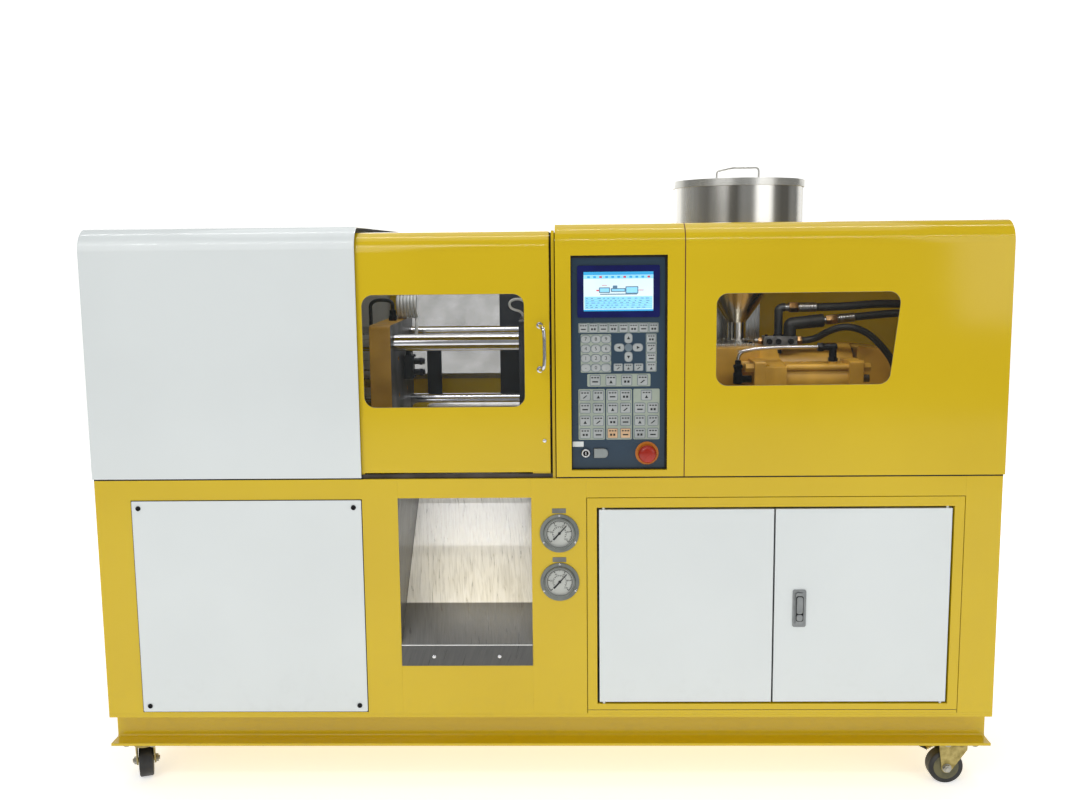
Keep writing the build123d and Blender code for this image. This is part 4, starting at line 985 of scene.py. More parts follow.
@dataclass
class Studio:
    """Pale floor, soft lights and the camera at the photograph's angle.

    Attributes:
        camera_at: camera position in metres.
        yaw: camera heading in radians.
        pitch: its tilt down in radians.
        roll: its roll in radians.
        focal_pixels: focal length in pixels of the photograph's frame.
        frame_width: width of that frame in pixels.
        sensor: width of the camera's sensor in millimetres.
        sweep: Y and Z of the paper's line in metres, from the camera's side to the back.
        half_width: half the paper's width in metres.
        lights: name, place, target, width and height in metres and power in watts of each soft light.
        room: strength of the even light from all round.
    """

    camera_at: Point = (0.0526, -2.7930, 1.2484)
    yaw: float = -0.023279
    pitch: float = 0.134557
    roll: float = -0.010583
    focal_pixels: float = 1110.0
    frame_width: float = 1083.0
    sensor: float = 36.0
    sweep: tuple[Spot, ...] = ((-6.0, 0.0), (3.2, 0.0), (3.9, 0.12), (4.4, 0.6), (4.6, 1.4), (4.6, 4.5))
    half_width: float = 8.0
    lights: tuple[tuple[str, Point, Point, Spot, float], ...] = (
        ("key_softbox", (-1.9, -3.4, 3.0), (0.0, 0.0, 0.8), (2.6, 2.6), 38.0),
        ("fill_softbox", (2.8, -3.0, 1.9), (0.2, 0.0, 0.8), (2.2, 2.2), 20.0),
        ("top_softbox", (0.0, 0.3, 3.6), (0.0, 0.0, 0.8), (3.2, 3.2), 30.0),
        ("rear_softbox", (0.2, 3.4, 2.3), (0.0, 0.0, 0.9), (2.6, 2.6), 24.0),
        ("low_strip", (0.0, -2.8, 3.05), (0.0, 0.0, 1.1), (5.0, 0.035), 13.0),
        ("high_strip", (0.0, -0.1, 3.3), (0.0, -0.2, 1.2), (5.0, 0.05), 16.0),
        ("cover_lamp", (0.58, -0.30, 1.27), (0.60, 0.1, 0.95), (0.35, 0.05), 0.7),
        ("chute_lamp", (-0.14, -0.33, 0.69), (-0.12, 0.05, 0.56), (0.26, 0.03), 0.35))
    room: float = 0.30

    def build(self) -> None:
        """Set up floor, light and camera."""
        self.lay_floor()
        self.hang_lights()
        self.set_camera()

    def lay_floor(self) -> None:
        """Lay a pale sweep that rises far behind the machine."""
        shape = bmesh.new()
        rows = []
        for y, z in self.sweep:
            rows.append([shape.verts.new((x, y, z)) for x in (-self.half_width, self.half_width)])
        for low, high in zip(rows, rows[1:]):
            shape.faces.new((low[0], low[1], high[1], high[0]))
        data = bpy.data.meshes.new("studio_sweep")
        shape.to_mesh(data)
        shape.free()
        for polygon in data.polygons:
            polygon.use_smooth = True
        data.materials.append(BackdropPaper("studio_paper", "#F4F4F3", "#F1F1F0", 0.85).material())
        linked("studio_sweep", data)

    def hang_lights(self) -> None:
        """Hang the soft boxes and set the room's even light."""
        for name, at, target, size, watts in self.lights:
            light = bpy.data.lights.new(name, "AREA")
            light.shape = "RECTANGLE"
            light.size, light.size_y = size
            light.energy = watts
            holder = linked(name, light)
            holder.location = at
            holder.rotation_euler = (Vector(target) - Vector(at)).to_track_quat("-Z", "Y").to_euler()
        world = bpy.data.worlds.new("studio_room")
        bpy.context.scene.world = world
        world.use_nodes = True
        backdrop = world.node_tree.nodes["Background"]
        backdrop.inputs["Color"].default_value = linear_colour("#F4F6F7")
        backdrop.inputs["Strength"].default_value = self.room
        bpy.context.scene.view_settings.view_transform = "Standard"

    def set_camera(self) -> None:
        """Place the camera that matches the photograph."""
        forward = Vector((math.sin(self.yaw) * math.cos(self.pitch), math.cos(self.yaw) * math.cos(self.pitch),
                          -math.sin(self.pitch)))
        right = Vector((math.cos(self.yaw), -math.sin(self.yaw), 0.0))
        above = right.cross(forward)
        c, s = math.cos(self.roll), math.sin(self.roll)
        across, up = right * c + above * s, above * c - right * s
        data = bpy.data.cameras.new("photo_camera")
        data.sensor_fit = "HORIZONTAL"
        data.sensor_width = self.sensor
        data.lens = self.focal_pixels / self.frame_width * self.sensor
        data.clip_end = 60.0
        camera = linked("photo_camera", data)
        turn = Matrix((across, up, -forward)).transposed().to_4x4()
        camera.matrix_world = Matrix.Translation(Vector(self.camera_at)) @ turn
        bpy.context.scene.camera = camera


@dataclass
class UpperCovers:
    """The three arched covers, the seals under them and the joint between the yellow ones.

    Attributes:
        half_depth: Y reach of the covers.
        foot: Z of their lower edge.
        top: Z of their roof.
        bend: radius of the roof's bend.
        sheet: sheet thickness.
        joint: X span of the strip over the gap between the two yellow covers.
        lips: X spans of the rubber lips behind the gaps beside the door posts.
        lip_inset: how far the lips' outer and inner edges lie inside the covers' face.
        brush: X span of the foam strip between the clamp cover and the sliding doors.
        brush_depth: how far the foam strip reaches in from the sheet.
        window: corners of the injection cover's window in X and Z.
        window_radius: its corner radius.
        bead: radius of the bare cut edge round it.
    """

    half_depth: float = 355.0
    foot: float = 744.0
    top: float = 1304.0
    bend: float = 50.0
    sheet: float = 3.0
    joint: Spot = (311.2, 313.3)
    lips: tuple[Spot, ...] = ((15.5, 19.4), (26.1, 27.9))
    lip_inset: Spot = (18.0, 42.0)
    brush: Spot = (-421.0, -411.6)
    brush_depth: float = 5.0
    window: tuple[Spot, ...] = ((381.0, 946.5), (760.0, 948.0), (783.0, 1151.0), (381.0, 1150.0))
    window_radius: float = 25.0
    bead: float = 0.6

    def build(self) -> None:
        """Dress the covers and fit their joint, lips and window trim."""
        dress("clamp_cover", Paint.SHEET_WHITE)
        dress("control_housing injection_cover", Paint.SHEET_YELLOW)
        dress("seal_strips", Paint.SEAL)
        dress("cover_window", Paint.PANE)
        self.fill_joint()
        self.trim_window()

    def arch(self, inset: float) -> list[Spot]:
        """Give the covers' arched line in Y and Z.

        Args:
            inset: how far the line is pulled in from the covers' face.

        Returns:
            The line's points from the operator's foot to the rear one.
        """
        half, top, radius = self.half_depth - inset, self.top - inset, self.bend - inset
        line = [(-half, self.foot)]
        for centre, start in ((-half + radius, 180), (half - radius, 90)):
            for step in range(9):
                angle = math.radians(start - 90 * step / 8)
                line.append((centre + radius * math.cos(angle), top - radius + radius * math.sin(angle)))
        return line + [(half, self.foot)]

    def fill_joint(self) -> None:
        """Lay the primed strip between the yellow covers, the rubber lips and the foam strip."""
        self.band(Shape("cover_joint_strip"), self.joint, -0.2, 0.4).finish(Paint.JOINT_RED, slot="gloss_yellow")
        lips = Shape("door_seal_lips")
        for span in self.lips:
            self.band(lips, span, *self.lip_inset)
        self.band(lips, self.brush, self.sheet, self.sheet + self.brush_depth)
        lips.finish(Paint.SEAL, slot="seal_black")

    def band(self, shape: Shape, span: Spot, outset: float, inset: float) -> Shape:
        """Add a band that follows the arch between two X values.

        Args:
            shape: the shape it joins.
            span: its two X values.
            outset: how far its outer face lies inside the covers' face.
            inset: how far its inner face lies inside the covers' face.

        Returns:
            The shape.
        """
        x0, x1 = span
        rings = [[(x0, y, z), (x1, y, z), (x1, v, w), (x0, v, w)]
                 for (y, z), (v, w) in zip(self.arch(outset), self.arch(inset))]
        return shape.loft(rings)

    def trim_window(self) -> None:
        """Run the bare cut edge round the injection window."""
        outline = rounded_outline(list(self.window), self.window_radius, 8)
        bent_tube("injection_window_edge", [(x, -self.half_depth + self.bead, z) for x, z in outline], self.bead,
                  Paint.STEEL, cyclic=True, straight=True)


@dataclass
class SafetyDoor:
    """One sliding door with its pane, handle, edge bead and screws.

    Attributes:
        side: -1 for the operator's door, 1 for the rear one.
        window: X0, X1, Z0 and Z1 of the window.
        face: distance of the sheet's face from the centreline.
        screw_at: X and Z of the screw at the closing edge.
        handle_x: X of the handle's feet.
        lean: how far the handle's bow leans along X over its feet.
        reach: how far the bow stands out.
        feet: Z of the two feet.
        rod: radius of the handle's rod.
        bead: radius of the bare cut edge round the window.
    """

    side: int = -1
    window: Rect = (-400.0, -41.0, 902.0, 1153.0)
    face: float = 346.0
    screw_at: Spot = (1.7, 825.0)
    handle_x: float = -7.0
    lean: float = 11.0
    reach: float = 34.0
    feet: Spot = (985.0, 1083.0)
    rod: float = 4.0
    bead: float = 0.6

    def build(self) -> None:
        """Dress the door's nodes and fit its small parts."""
        place = "front" if self.side < 0 else "rear"
        body = f"{place}_door"
        dress(f"safety_door_{place}", Paint.SHEET_YELLOW)
        dress(f"door_window_{place}", Paint.PANE if self.side < 0 else Paint.PANE_DUSTY)
        outline = rectangle(self.window, 25.0, 8)
        bent_tube(f"door_window_edge_{place}", [(x, self.side * (self.face - self.bead), z) for x, z in outline],
                  self.bead, Paint.STEEL, body, cyclic=True, straight=True)
        self.bend_handle(place, body)
        x, z = self.screw_at
        screw = Shape(f"door_screw_{place}")
        screw.screw((x, self.side * self.face, z), (0, self.side, 0), 4.4, 2.4)
        screw.finish(Paint.CHROME, body, "bright_steel")

    def bend_handle(self, place: str, body: str) -> None:
        """Bend the chromed bow, which leans over its two round feet.

        Args:
            place: front or rear.
            body: the door that carries it.
        """
        x, lean, reach = self.handle_x, self.lean, self.reach
        foot, head = self.feet
        path = [(0, 0, foot), (0, 12, foot), (lean * 0.8, reach, foot + 3), (lean, reach, foot + 22),
                (lean, reach, (foot + head) / 2), (lean, reach, head - 22), (lean * 0.8, reach, head - 3),
                (0, 12, head), (0, 0, head)]
        bent_tube(f"door_handle_bow_{place}", [(x + dx, self.side * (self.face + dy), z) for dx, dy, z in path],
                  self.rod, Paint.CHROME, body, stands_for=f"door_handle_{place}")
        feet = Shape(f"door_handle_feet_{place}")
        for z in self.feet:
            feet.turned((x, self.side * self.face, z), (0, self.side, 0),
                        [(0, 7.5), (1.8, 7.5), (3.0, 6.4), (3.4, 4.2)])
        feet.finish(Paint.CHROME, body, "bright_steel")


@dataclass
class ControlPanel:
    """The recessed panel with its screen, membrane keys and emergency stop.

    Attributes:
        corner: X and Z of the recess's lower left corner.
        face: Y of the panel plate.
        key_rise: how far the keys stand out.
        key_gap: gap between two keys.
        digits: figures of the number keys, top row first.
        page: X0, X1, Z0 and Z1 of the display's lit page.
        page_face: Y of the page.
        shapes: the key shapes that the blocks of keys are added to.
    """

    corner: Spot = (62.0, 759.0)
    face: float = -341.0
    key_rise: float = 2.3
    key_gap: float = 3.2
    digits: str = "789456123-0."
    page: Rect = (90.5, 243.5, 1113.0, 1199.0)
    page_face: float = -344.2
    shapes: dict = field(default_factory=dict)

    def build(self) -> None:
        """Dress the panel and lay out everything on it."""
        dress("control_panel", Paint.PANEL_BLUE)
        dress("screen", Paint.NAVY)
        looks = {"keys_grey": Paint.KEY_GREY, "keys_orange": Paint.KEY_ORANGE, "key_surrounds": Paint.KEY_EDGE,
                 "key_grounds": Paint.KEY_GROUND, "key_symbols": Paint.INK}
        self.shapes = {name: Shape(name) for name in looks}
        self.lay_keys()
        for name, look in looks.items():
            self.shapes[name].finish(look, slot=None if look is Paint.INK else "key_grey",
                                     stands_for="keypad" if name == "keys_grey" else "")
        self.fit_gasket_and_recess_shade()
        self.light_screen()
        self.fit_stop()
        self.fit_switch()

    def fit_gasket_and_recess_shade(self) -> None:
        """Lay a thin black gasket round the panel, widened at the right and the top as painted shade of the recess.
        """
        trim = Shape("panel_trim")
        for x, z in (((269.5, 273.8), (759.2, 1234.8)), ((62.2, 269.5), (1230.0, 1234.8)),
                     ((62.2, 63.8), (759.2, 1230.0)), ((63.8, 269.5), (759.2, 760.8))):
            trim.box(x, (self.face - 4.0, self.face), z, 0.3)
        trim.finish(Paint.SEAL, slot="seal_black")

    def area(self, rect: Rect) -> Rect:
        """Turn an area measured from the recess's corner into X and Z."""
        x, z = self.corner
        return (rect[0] + x, rect[1] + x, rect[2] + z, rect[3] + z)

    def ground(self, rect: Rect) -> None:
        """Print the pale ground under a block of keys."""
        self.shapes["key_grounds"].plate(rectangle(self.area(rect), 3.0), self.face - 0.5, 0.6, 0.1)

    def ink(self, outline: list[Spot]) -> None:
        """Print a figure on a key's cap."""
        self.shapes["key_symbols"].plate(outline, self.face - self.key_rise - 0.05, 0.1, 0.02)

    def key(self, rect: Rect, orange: bool = False, radius: float = 2.2, symbol: int = 0) -> None:
        """Make one domed key with its surround and a plain symbol.

        Args:
            rect: X0, X1, Z0 and Z1 of the key.
            orange: whether it is one of the two orange keys.
            radius: its corner radius.
            symbol: which of the plain symbols it bears, 0 for none.
        """
        x0, x1, z0, z1 = rect
        grow = 0.9
        self.shapes["key_surrounds"].plate(rectangle((x0 - grow, x1 + grow, z0 - grow, z1 + grow), radius + grow),
                                           self.face - 1.0, 1.1, 0.1)
        caps = self.shapes["keys_orange" if orange else "keys_grey"]
        mid = ((x0 + x1) / 2, (z0 + z1) / 2)
        rings = []
        for y, share in ((0.0, 1.0), (self.key_rise - 0.8, 0.98), (self.key_rise - 0.2, 0.93), (self.key_rise, 0.82)):
            rings.append([(mid[0] + (x - mid[0]) * share, self.face - y, mid[1] + (z - mid[1]) * share)
                          for x, z in rectangle(rect, radius, 3)])
        caps.loft(rings)
        if symbol:
            self.draw_symbol(mid, z1 - z0, symbol)

    def draw_symbol(self, mid: Spot, height: float, symbol: int) -> None:
        """Print a row of three squares over one plain figure.

        Args:
            mid: X and Z of the key's centre.
            height: the key's height.
            symbol: picks the figure: bar, triangle, square pair or slanted bar.
        """
        unit = height / 15.5
        for step in (-1, 0, 1):
            x, z = mid[0] + step * 4.4 * unit, mid[1] + 4.2 * unit
            self.ink(rectangle((x - 1.5 * unit, x + 1.5 * unit, z - unit, z + unit)))
        x, z = mid[0], mid[1] - 2.2 * unit
        figures = {
            1: [rectangle((-4.5, 4.5, -1.1, 1.1))],
            2: [[(-2.8, -2.6), (2.8, -2.6), (0.0, 2.6)]],
            3: [rectangle((-4.2, -0.8, -1.8, 1.8)), rectangle((0.8, 4.2, -1.8, 1.8))],
            4: [[(-4.0, -2.2), (-1.8, -2.6), (4.0, 2.2), (1.8, 2.6)]],
        }
        for figure in figures[symbol]:
            self.ink([(x + px * unit, z + pz * unit) for px, pz in figure])

    def key_block(self, rect: Rect, columns: int, rows: int, **looks: object) -> list[Spot]:
        """Lay a block of equal keys and give their centres, top row first.

        Args:
            rect: the block's area from the recess's corner.
            columns: number of columns.
            rows: number of rows.
            looks: orange, plain, radius and gap for every key.

        Returns:
            X and Z of the key centres.
        """
        x0, x1, z0, z1 = self.area(rect)
        dx, dz = (x1 - x0) / columns, (z1 - z0) / rows
        wide, high = (gap / 2 for gap in looks.get("gap", (self.key_gap, self.key_gap)))
        centres = []
        for row in reversed(range(rows)):
            for column in range(columns):
                left, foot = x0 + column * dx, z0 + row * dz
                symbol = 0 if looks.get("plain") else 1 + (row * 3 + column * 2 + columns) % 4
                self.key((left + wide, left + dx - wide, foot + high, foot + dz - high),
                         orange=bool(looks.get("orange")), radius=float(looks.get("radius", 2.2)), symbol=symbol)
                centres.append((left + dx / 2, foot + dz / 2))
        return centres

    def lay_keys(self) -> None:
        """Lay out every block of keys as the photograph shows them."""
        function_keys = (16.5, 193.7, 306.0, 328.0)
        number_keys = (21.4, 88.8, 218.0, 303.0)
        side_keys = (165.5, 189.3, 219.0, 304.0)
        wide_keys = (35.7, 175.9, 186.5, 214.8)
        for rect in (function_keys, number_keys, side_keys, wide_keys):
            self.ground(rect)
        self.key_block(function_keys, 8, 1)
        centres = self.key_block(number_keys, 3, 4, plain=True, radius=7.5, gap=(1.2, 4.5))
        number_marks("key_digits", [(text, x, z) for text, (x, z) in zip(self.digits, centres)],
                     self.face - self.key_rise, 8.5, Paint.INK)
        self.key_block((93.0, 161.0, 220.0, 239.0), 3, 1)
        self.key_block(side_keys, 1, 4)
        x0, x1, z0, z1 = self.area(wide_keys)
        pitch = (x1 - x0) / 4
        for i in range(4):
            mid = x0 + pitch * (i + 0.5)
            self.key((mid - 11.0, mid + 11.0, z0 + 3.0, z1 - 3.0), symbol=1 + i % 4)
        foot, head = 67.0, 181.0
        row = (head - foot) / 4
        columns = ((15.8, 74.8), (77.5, 134.9), (137.8, 196.3))
        for left, right in columns:
            self.ground((left, right, foot, head))
        apart = (6.5, 7.0)
        self.key_block((*columns[0], foot, head), 2, 4, gap=apart)
        self.key_block((*columns[1], foot + row, head), 2, 3, gap=apart)
        self.key_block((*columns[1], foot, foot + row), 2, 1, orange=True, gap=apart)
        self.key_block((*columns[2], foot, head - row), 2, 3, gap=apart)
        left, right = columns[2]
        quarter = (right - left) / 4
        self.key_block((left + quarter, right - quarter, head - row, head), 1, 1, gap=apart)
        self.lay_arrows()

    def lay_arrows(self) -> None:
        """Lay the four arrow keys round their middle key."""
        x, z = 127.2 + self.corner[0], 273.2 + self.corner[1]
        reach, half = 20.5, 8.5
        for dx, dz in ((1, 0), (0, 1), (-1, 0), (0, -1)):
            cx, cz = x + dx * reach, z + dz * reach
            wide, high = (11.0, half) if dx else (half, 11.0)
            self.key((cx - wide, cx + wide, cz - high, cz + high), radius=7.0)
            tip, back = 4.6, -2.4
            self.ink([(cx + dx * tip, cz + dz * tip), (cx + dx * back - dz * 3.6, cz + dz * back + dx * 3.6),
                      (cx + dx * back + dz * 3.6, cz + dz * back - dx * 3.6)])
        middle = self.shapes["key_surrounds"]
        middle.turned((x, self.face, z), FRONT, [(0, 8.8), (2.0, 8.8), (2.8, 8.0), (3.0, 6.5)], 36)

    def light_screen(self) -> None:
        """Lay the display's generic page: title bar, drawing, table and foot bar."""
        looks = {"ground": Paint.SCREEN_PALE, "table": Paint.SCREEN_CYAN, "bars": Paint.SCREEN_BLUE,
                 "lines": Paint.SCREEN_LINE, "red": Paint.SCREEN_RED}
        parts = {name: Shape(f"screen_{name}") for name in looks}
        x0, x1, z0, z1 = self.page
        wide, high = x1 - x0, z1 - z0

        def film(name: str, rect: Rect, rise: float = 0.2, radius: float = 0.0) -> None:
            """Lay one patch of film on the page, measured from the page's lower left corner."""
            left, right, foot, head = rect
            parts[name].plate(rectangle((x0 + left, x0 + right, z0 + foot, z0 + head), radius, 2),
                              self.page_face - rise, 0.1, 0.02)

        parts["ground"].plate(rectangle(self.page, 1.0), self.page_face, 0.3, 0.05)
        for name, rect in (("bars", (0, wide, high - 7, high)), ("table", (2, wide - 2, 5, 32)),
                           ("bars", (0, wide, 0, 3.5)), ("table", (0, wide, high - 15, high - 7.5))):
            film(name, rect, 0.1)
        for index in range(11):
            x = 8 + index * 13.2
            film("red" if index % 4 == 2 else "bars", (x, x + 6, high - 13.4, high - 9.2), radius=0.8)
        noise = random.Random(7)
        for row in range(5):
            z = 8 + row * 5
            film("bars", (3, wide - 3, z - 1.9, z - 1.6))
            x = 5.0
            while x < wide - 14:
                width = noise.uniform(3.0, 8.0)
                film("lines", (x, x + width, z - 0.5, z + 0.7))
                x += width + noise.uniform(4.0, 10.0)
        for rect in ((34, 58, 40, 52), (60, 92, 42, 50), (92, 120, 38, 54), (36, 118, 36, 38), (64, 74, 50, 56)):
            film("lines", rect, radius=0.8)
        for rect in ((36, 56, 42, 50), (62, 90, 44, 48), (94, 118, 40, 52)):
            film("table", rect, 0.35, 0.6)
        for rect in ((28, 34, 44, 47), (120, 132, 45, 46.2), (40, 52, 56, 57)):
            film("red", rect)
        for name, part in parts.items():
            part.finish(looks[name], slot="screen_navy")

    def fit_stop(self) -> None:
        """Turn the emergency stop with its rounded mushroom head and ring."""
        centre = (168.4 + self.corner[0], self.face, 35.9 + self.corner[1])
        ring = Shape("stop_ring")
        ring.turned(centre, FRONT, [(0, 26.0), (1.4, 26.0), (2.0, 25.4), (2.0, 20.0), (1.4, 19.4)], 64)
        ring.finish(Paint.ORANGE, slot="stop_red", stands_for="emergency_stop")
        head = Shape("stop_head")
        dome = [(1.4, 14.0), (12.0, 14.0), (12.4, 18.6), (13.2, 19.8), (15.5, 20.0), (18.4, 19.3), (21.0, 17.2),
                (22.8, 13.6), (23.7, 8.5), (24.0, 0.0)]
        head.turned(centre, FRONT, dome, 56)
        head.finish(Paint.RED, slot="stop_red", smooth=60)
        arrows = Shape("stop_arrows")
        for turn in range(3):
            arc = [math.tau * turn / 3 + 0.4 + step * 0.14 for step in range(9)]
            for low, high in zip(arc, arc[1:]):
                ring = [(centre[0] + r * math.cos(a), centre[1] - 23.15 + (r - 9) * 0.28, centre[2] + r * math.sin(a))
                        for r, a in ((9.6, low), (9.6, high), (11.2, high), (11.2, low))]
                arrows.loft([ring, [(px, py - 0.35, pz) for px, py, pz in ring]])
        arrows.finish(Paint.ORANGE, slot="stop_red")

    def fit_switch(self) -> None:
        """Fit the key switch, the socket flap and the bare name plate."""
        centre = (31.6 + self.corner[0], self.face, 36.8 + self.corner[1])
        ring = Shape("key_switch_ring")
        ring.turned(centre, FRONT, [(4.6, 9.6), (6.0, 9.6), (6.8, 8.8), (6.8, 6.4), (5.6, 6.0)], 40)
        ring.finish(Paint.BEZEL, slot="bright_steel")
        x, z = centre[0], centre[2]
        barrel = Shape("key_switch_barrel").turned(centre, FRONT, [(4.8, 6.2), (6.4, 6.2), (6.6, 5.8)])
        barrel.finish(Paint.BLACK_OXIDE)
        slot = rectangle((x - 0.9, x + 0.9, z - 4.0, z + 4.0))
        Shape("key_slot").plate(slot, self.face - 6.9, 0.4, 0.1).finish(Paint.BEZEL)
        x0, x1, z0, z1 = self.area((50.0, 81.0, 26.0, 47.0))
        flap = Shape("socket_flap")
        outline = [(x0, z0), (x1 - 9, z0)]
        for step in range(1, 8):
            angle = -math.pi / 2 + math.pi * step / 8
            outline.append((x1 - 9 + 10.5 * math.cos(angle) * 0.9, (z0 + z1) / 2 + 10.5 * math.sin(angle)))
        outline += [(x1 - 9, z1), (x0, z1)]
        flap.plate(outline, self.face - 5.2, 4.4, 1.2)
        flap.finish(Paint.FLAP, slot="key_grey")
        seam = Shape("socket_seam")
        mid_x, mid_z = (x0 + x1) / 2, (z0 + z1) / 2
        seam.plate([(mid_x + (x - mid_x) * 1.06, mid_z + (z - mid_z) * 1.08) for x, z in outline],
                   self.face - 0.8, 0.8, 0.1)
        seam.finish(Paint.SEAL, slot="seal_black")
        tag = rectangle(self.area((2.0, 27.0, 51.0, 63.0)), 0.8)
        Shape("bare_tag").plate(tag, self.face - 0.9, 0.8, 0.2).finish(Paint.SHEET_WHITE)


@dataclass
class PressureGauges:
    """Two flanged dial gauges with printed scales and needles.

    Attributes:
        x: X of both gauges.
        heights: Z of the two gauges.
        face: Y of the cabinet's face.
        needle: needle angle in degrees, counted from +X.
        numbers: scale numbers, lowest first.
        start: dial angle of the lowest number in degrees.
        sweep: angle from the lowest to the highest number in degrees.
    """

    x: float = 33.0
    heights: Spot = (614.0, 501.0)
    face: float = -350.0
    needle: float = 48.0
    numbers: tuple[str, ...] = ("0", "20", "40", "60", "80", "100")
    start: float = 225.0
    sweep: float = 270.0

    def build(self) -> None:
        """Dress the gauges and print their dials."""
        dress("pressure_gauges", Paint.GAUGE)
        for label, z in zip(("upper", "lower"), self.heights):
            self.fit_dial(label, z)
            self.fit_bare_plate(label, z)

    def on_dial(self, z: float, angle: float, radius: float) -> Spot:
        """Turn a dial angle in degrees and a radius into X and Z."""
        turn = math.radians(angle)
        return self.x + radius * math.cos(turn), z + radius * math.sin(turn)

    def fit_dial(self, label: str, z: float) -> None:
        """Make one dial with its bezel, scale, numbers, needle and screws.

        Args:
            label: upper or lower.
            z: height of its centre.
        """
        centre = (self.x, self.face, z)
        Shape(f"gauge_dial_{label}").turned(centre, FRONT, [(1.0, 31.3), (2.4, 31.3), (2.6, 30.9)], 64).finish(
            Paint.DIAL, slot="gauge_grey")
        rim = [(2.9, 35.4), (4.6, 35.8), (6.0, 35.0), (6.6, 33.6), (6.4, 32.2), (5.0, 31.4), (2.6, 31.2)]
        Shape(f"gauge_bezel_{label}").turned(centre, FRONT, rim, 72, open_ring=True).finish(
            Paint.BEZEL, slot="bright_steel")
        face = self.face - 2.7
        scale = Shape(f"gauge_scale_{label}")
        for step in range(51):
            angle = self.start - self.sweep * step / 50
            inner = 23.0 if step % 10 == 0 else 25.0 if step % 5 == 0 else 26.2
            self.mark(scale, z, angle, inner, 28.4, 0.8 if step % 10 == 0 else 0.42, face)
        for inner, outer, marked in ((28.4, 29.3, False), (15.4, 16.0, True)):
            for step in range(45):
                first, second = self.start - 6 * step, self.start - 6 * (step + 1)
                corners = [self.on_dial(z, angle, radius) for angle, radius in
                           ((first, inner), (second, inner), (second, outer), (first, outer))]
                scale.plate(corners, face - 0.05, 0.1, 0.01)
                if marked and step % 3 == 0:
                    self.mark(scale, z, first, 12.6, 15.6, 0.45, face)
        scale.finish(Paint.INK)
        pitch = self.sweep / (len(self.numbers) - 1)
        marks = [(text, *self.on_dial(z, self.start - pitch * index, 19.6))
                 for index, text in enumerate(self.numbers)]
        number_marks(f"gauge_numbers_{label}", marks, face, 4.2, Paint.INK)
        needle = Shape(f"gauge_needle_{label}")
        tip, tail = self.on_dial(z, self.needle, 24.0), self.on_dial(z, self.needle + 180, 20.0)
        side = Vector((tip[0] - tail[0], tip[1] - tail[1])).normalized()
        wide = Vector((-side.y, side.x))
        outline = [(end[0] + wide.x * half, end[1] + wide.y * half)
                   for end, half in ((tail, 1.9), (tail, -1.9), (tip, -0.8), (tip, 0.8))]
        needle.plate(outline, face - 1.4, 0.4, 0.05)
        needle.turned((self.x, face, z), FRONT, [(0, 3.2), (1.6, 3.2), (2.0, 2.6)], 24)
        needle.finish(Paint.INK)
        screws = Shape(f"gauge_screws_{label}")
        for angle in (90, 210, 330):
            x, height = self.on_dial(z, angle, 41.0)
            screws.screw((x, self.face - 3.0, height), FRONT, 2.6, 1.8)
        screws.finish(Paint.BEZEL, slot="bright_steel")

    def mark(self, scale: Shape, z: float, angle: float, inner: float, outer: float, width: float,
             face: float) -> None:
        """Print one radial line of the scale.

        Args:
            scale: the shape it joins.
            z: height of the dial's centre.
            angle: its angle in degrees.
            inner: where it starts.
            outer: where it ends.
            width: its half width.
            face: Y of the dial.
        """
        low, high = Vector(self.on_dial(z, angle, inner)), Vector(self.on_dial(z, angle, outer))
        side = Vector((-(high - low).y, (high - low).x)).normalized() * width
        scale.plate([tuple(low - side), tuple(high - side), tuple(high + side), tuple(low + side)],
                    face - 0.05, 0.1, 0.01)

    def fit_bare_plate(self, label: str, z: float) -> None:
        """Rivet the small bare plate above one gauge.

        Args:
            label: upper or lower.
            z: height of the gauge's centre.
        """
        outline = rectangle((self.x - 16, self.x + 15, z + 46, z + 57), 1.0)
        Shape(f"gauge_plate_{label}").plate(outline, self.face - 0.8, 0.9, 0.2).finish(Paint.PLATE, slot="gauge_grey")


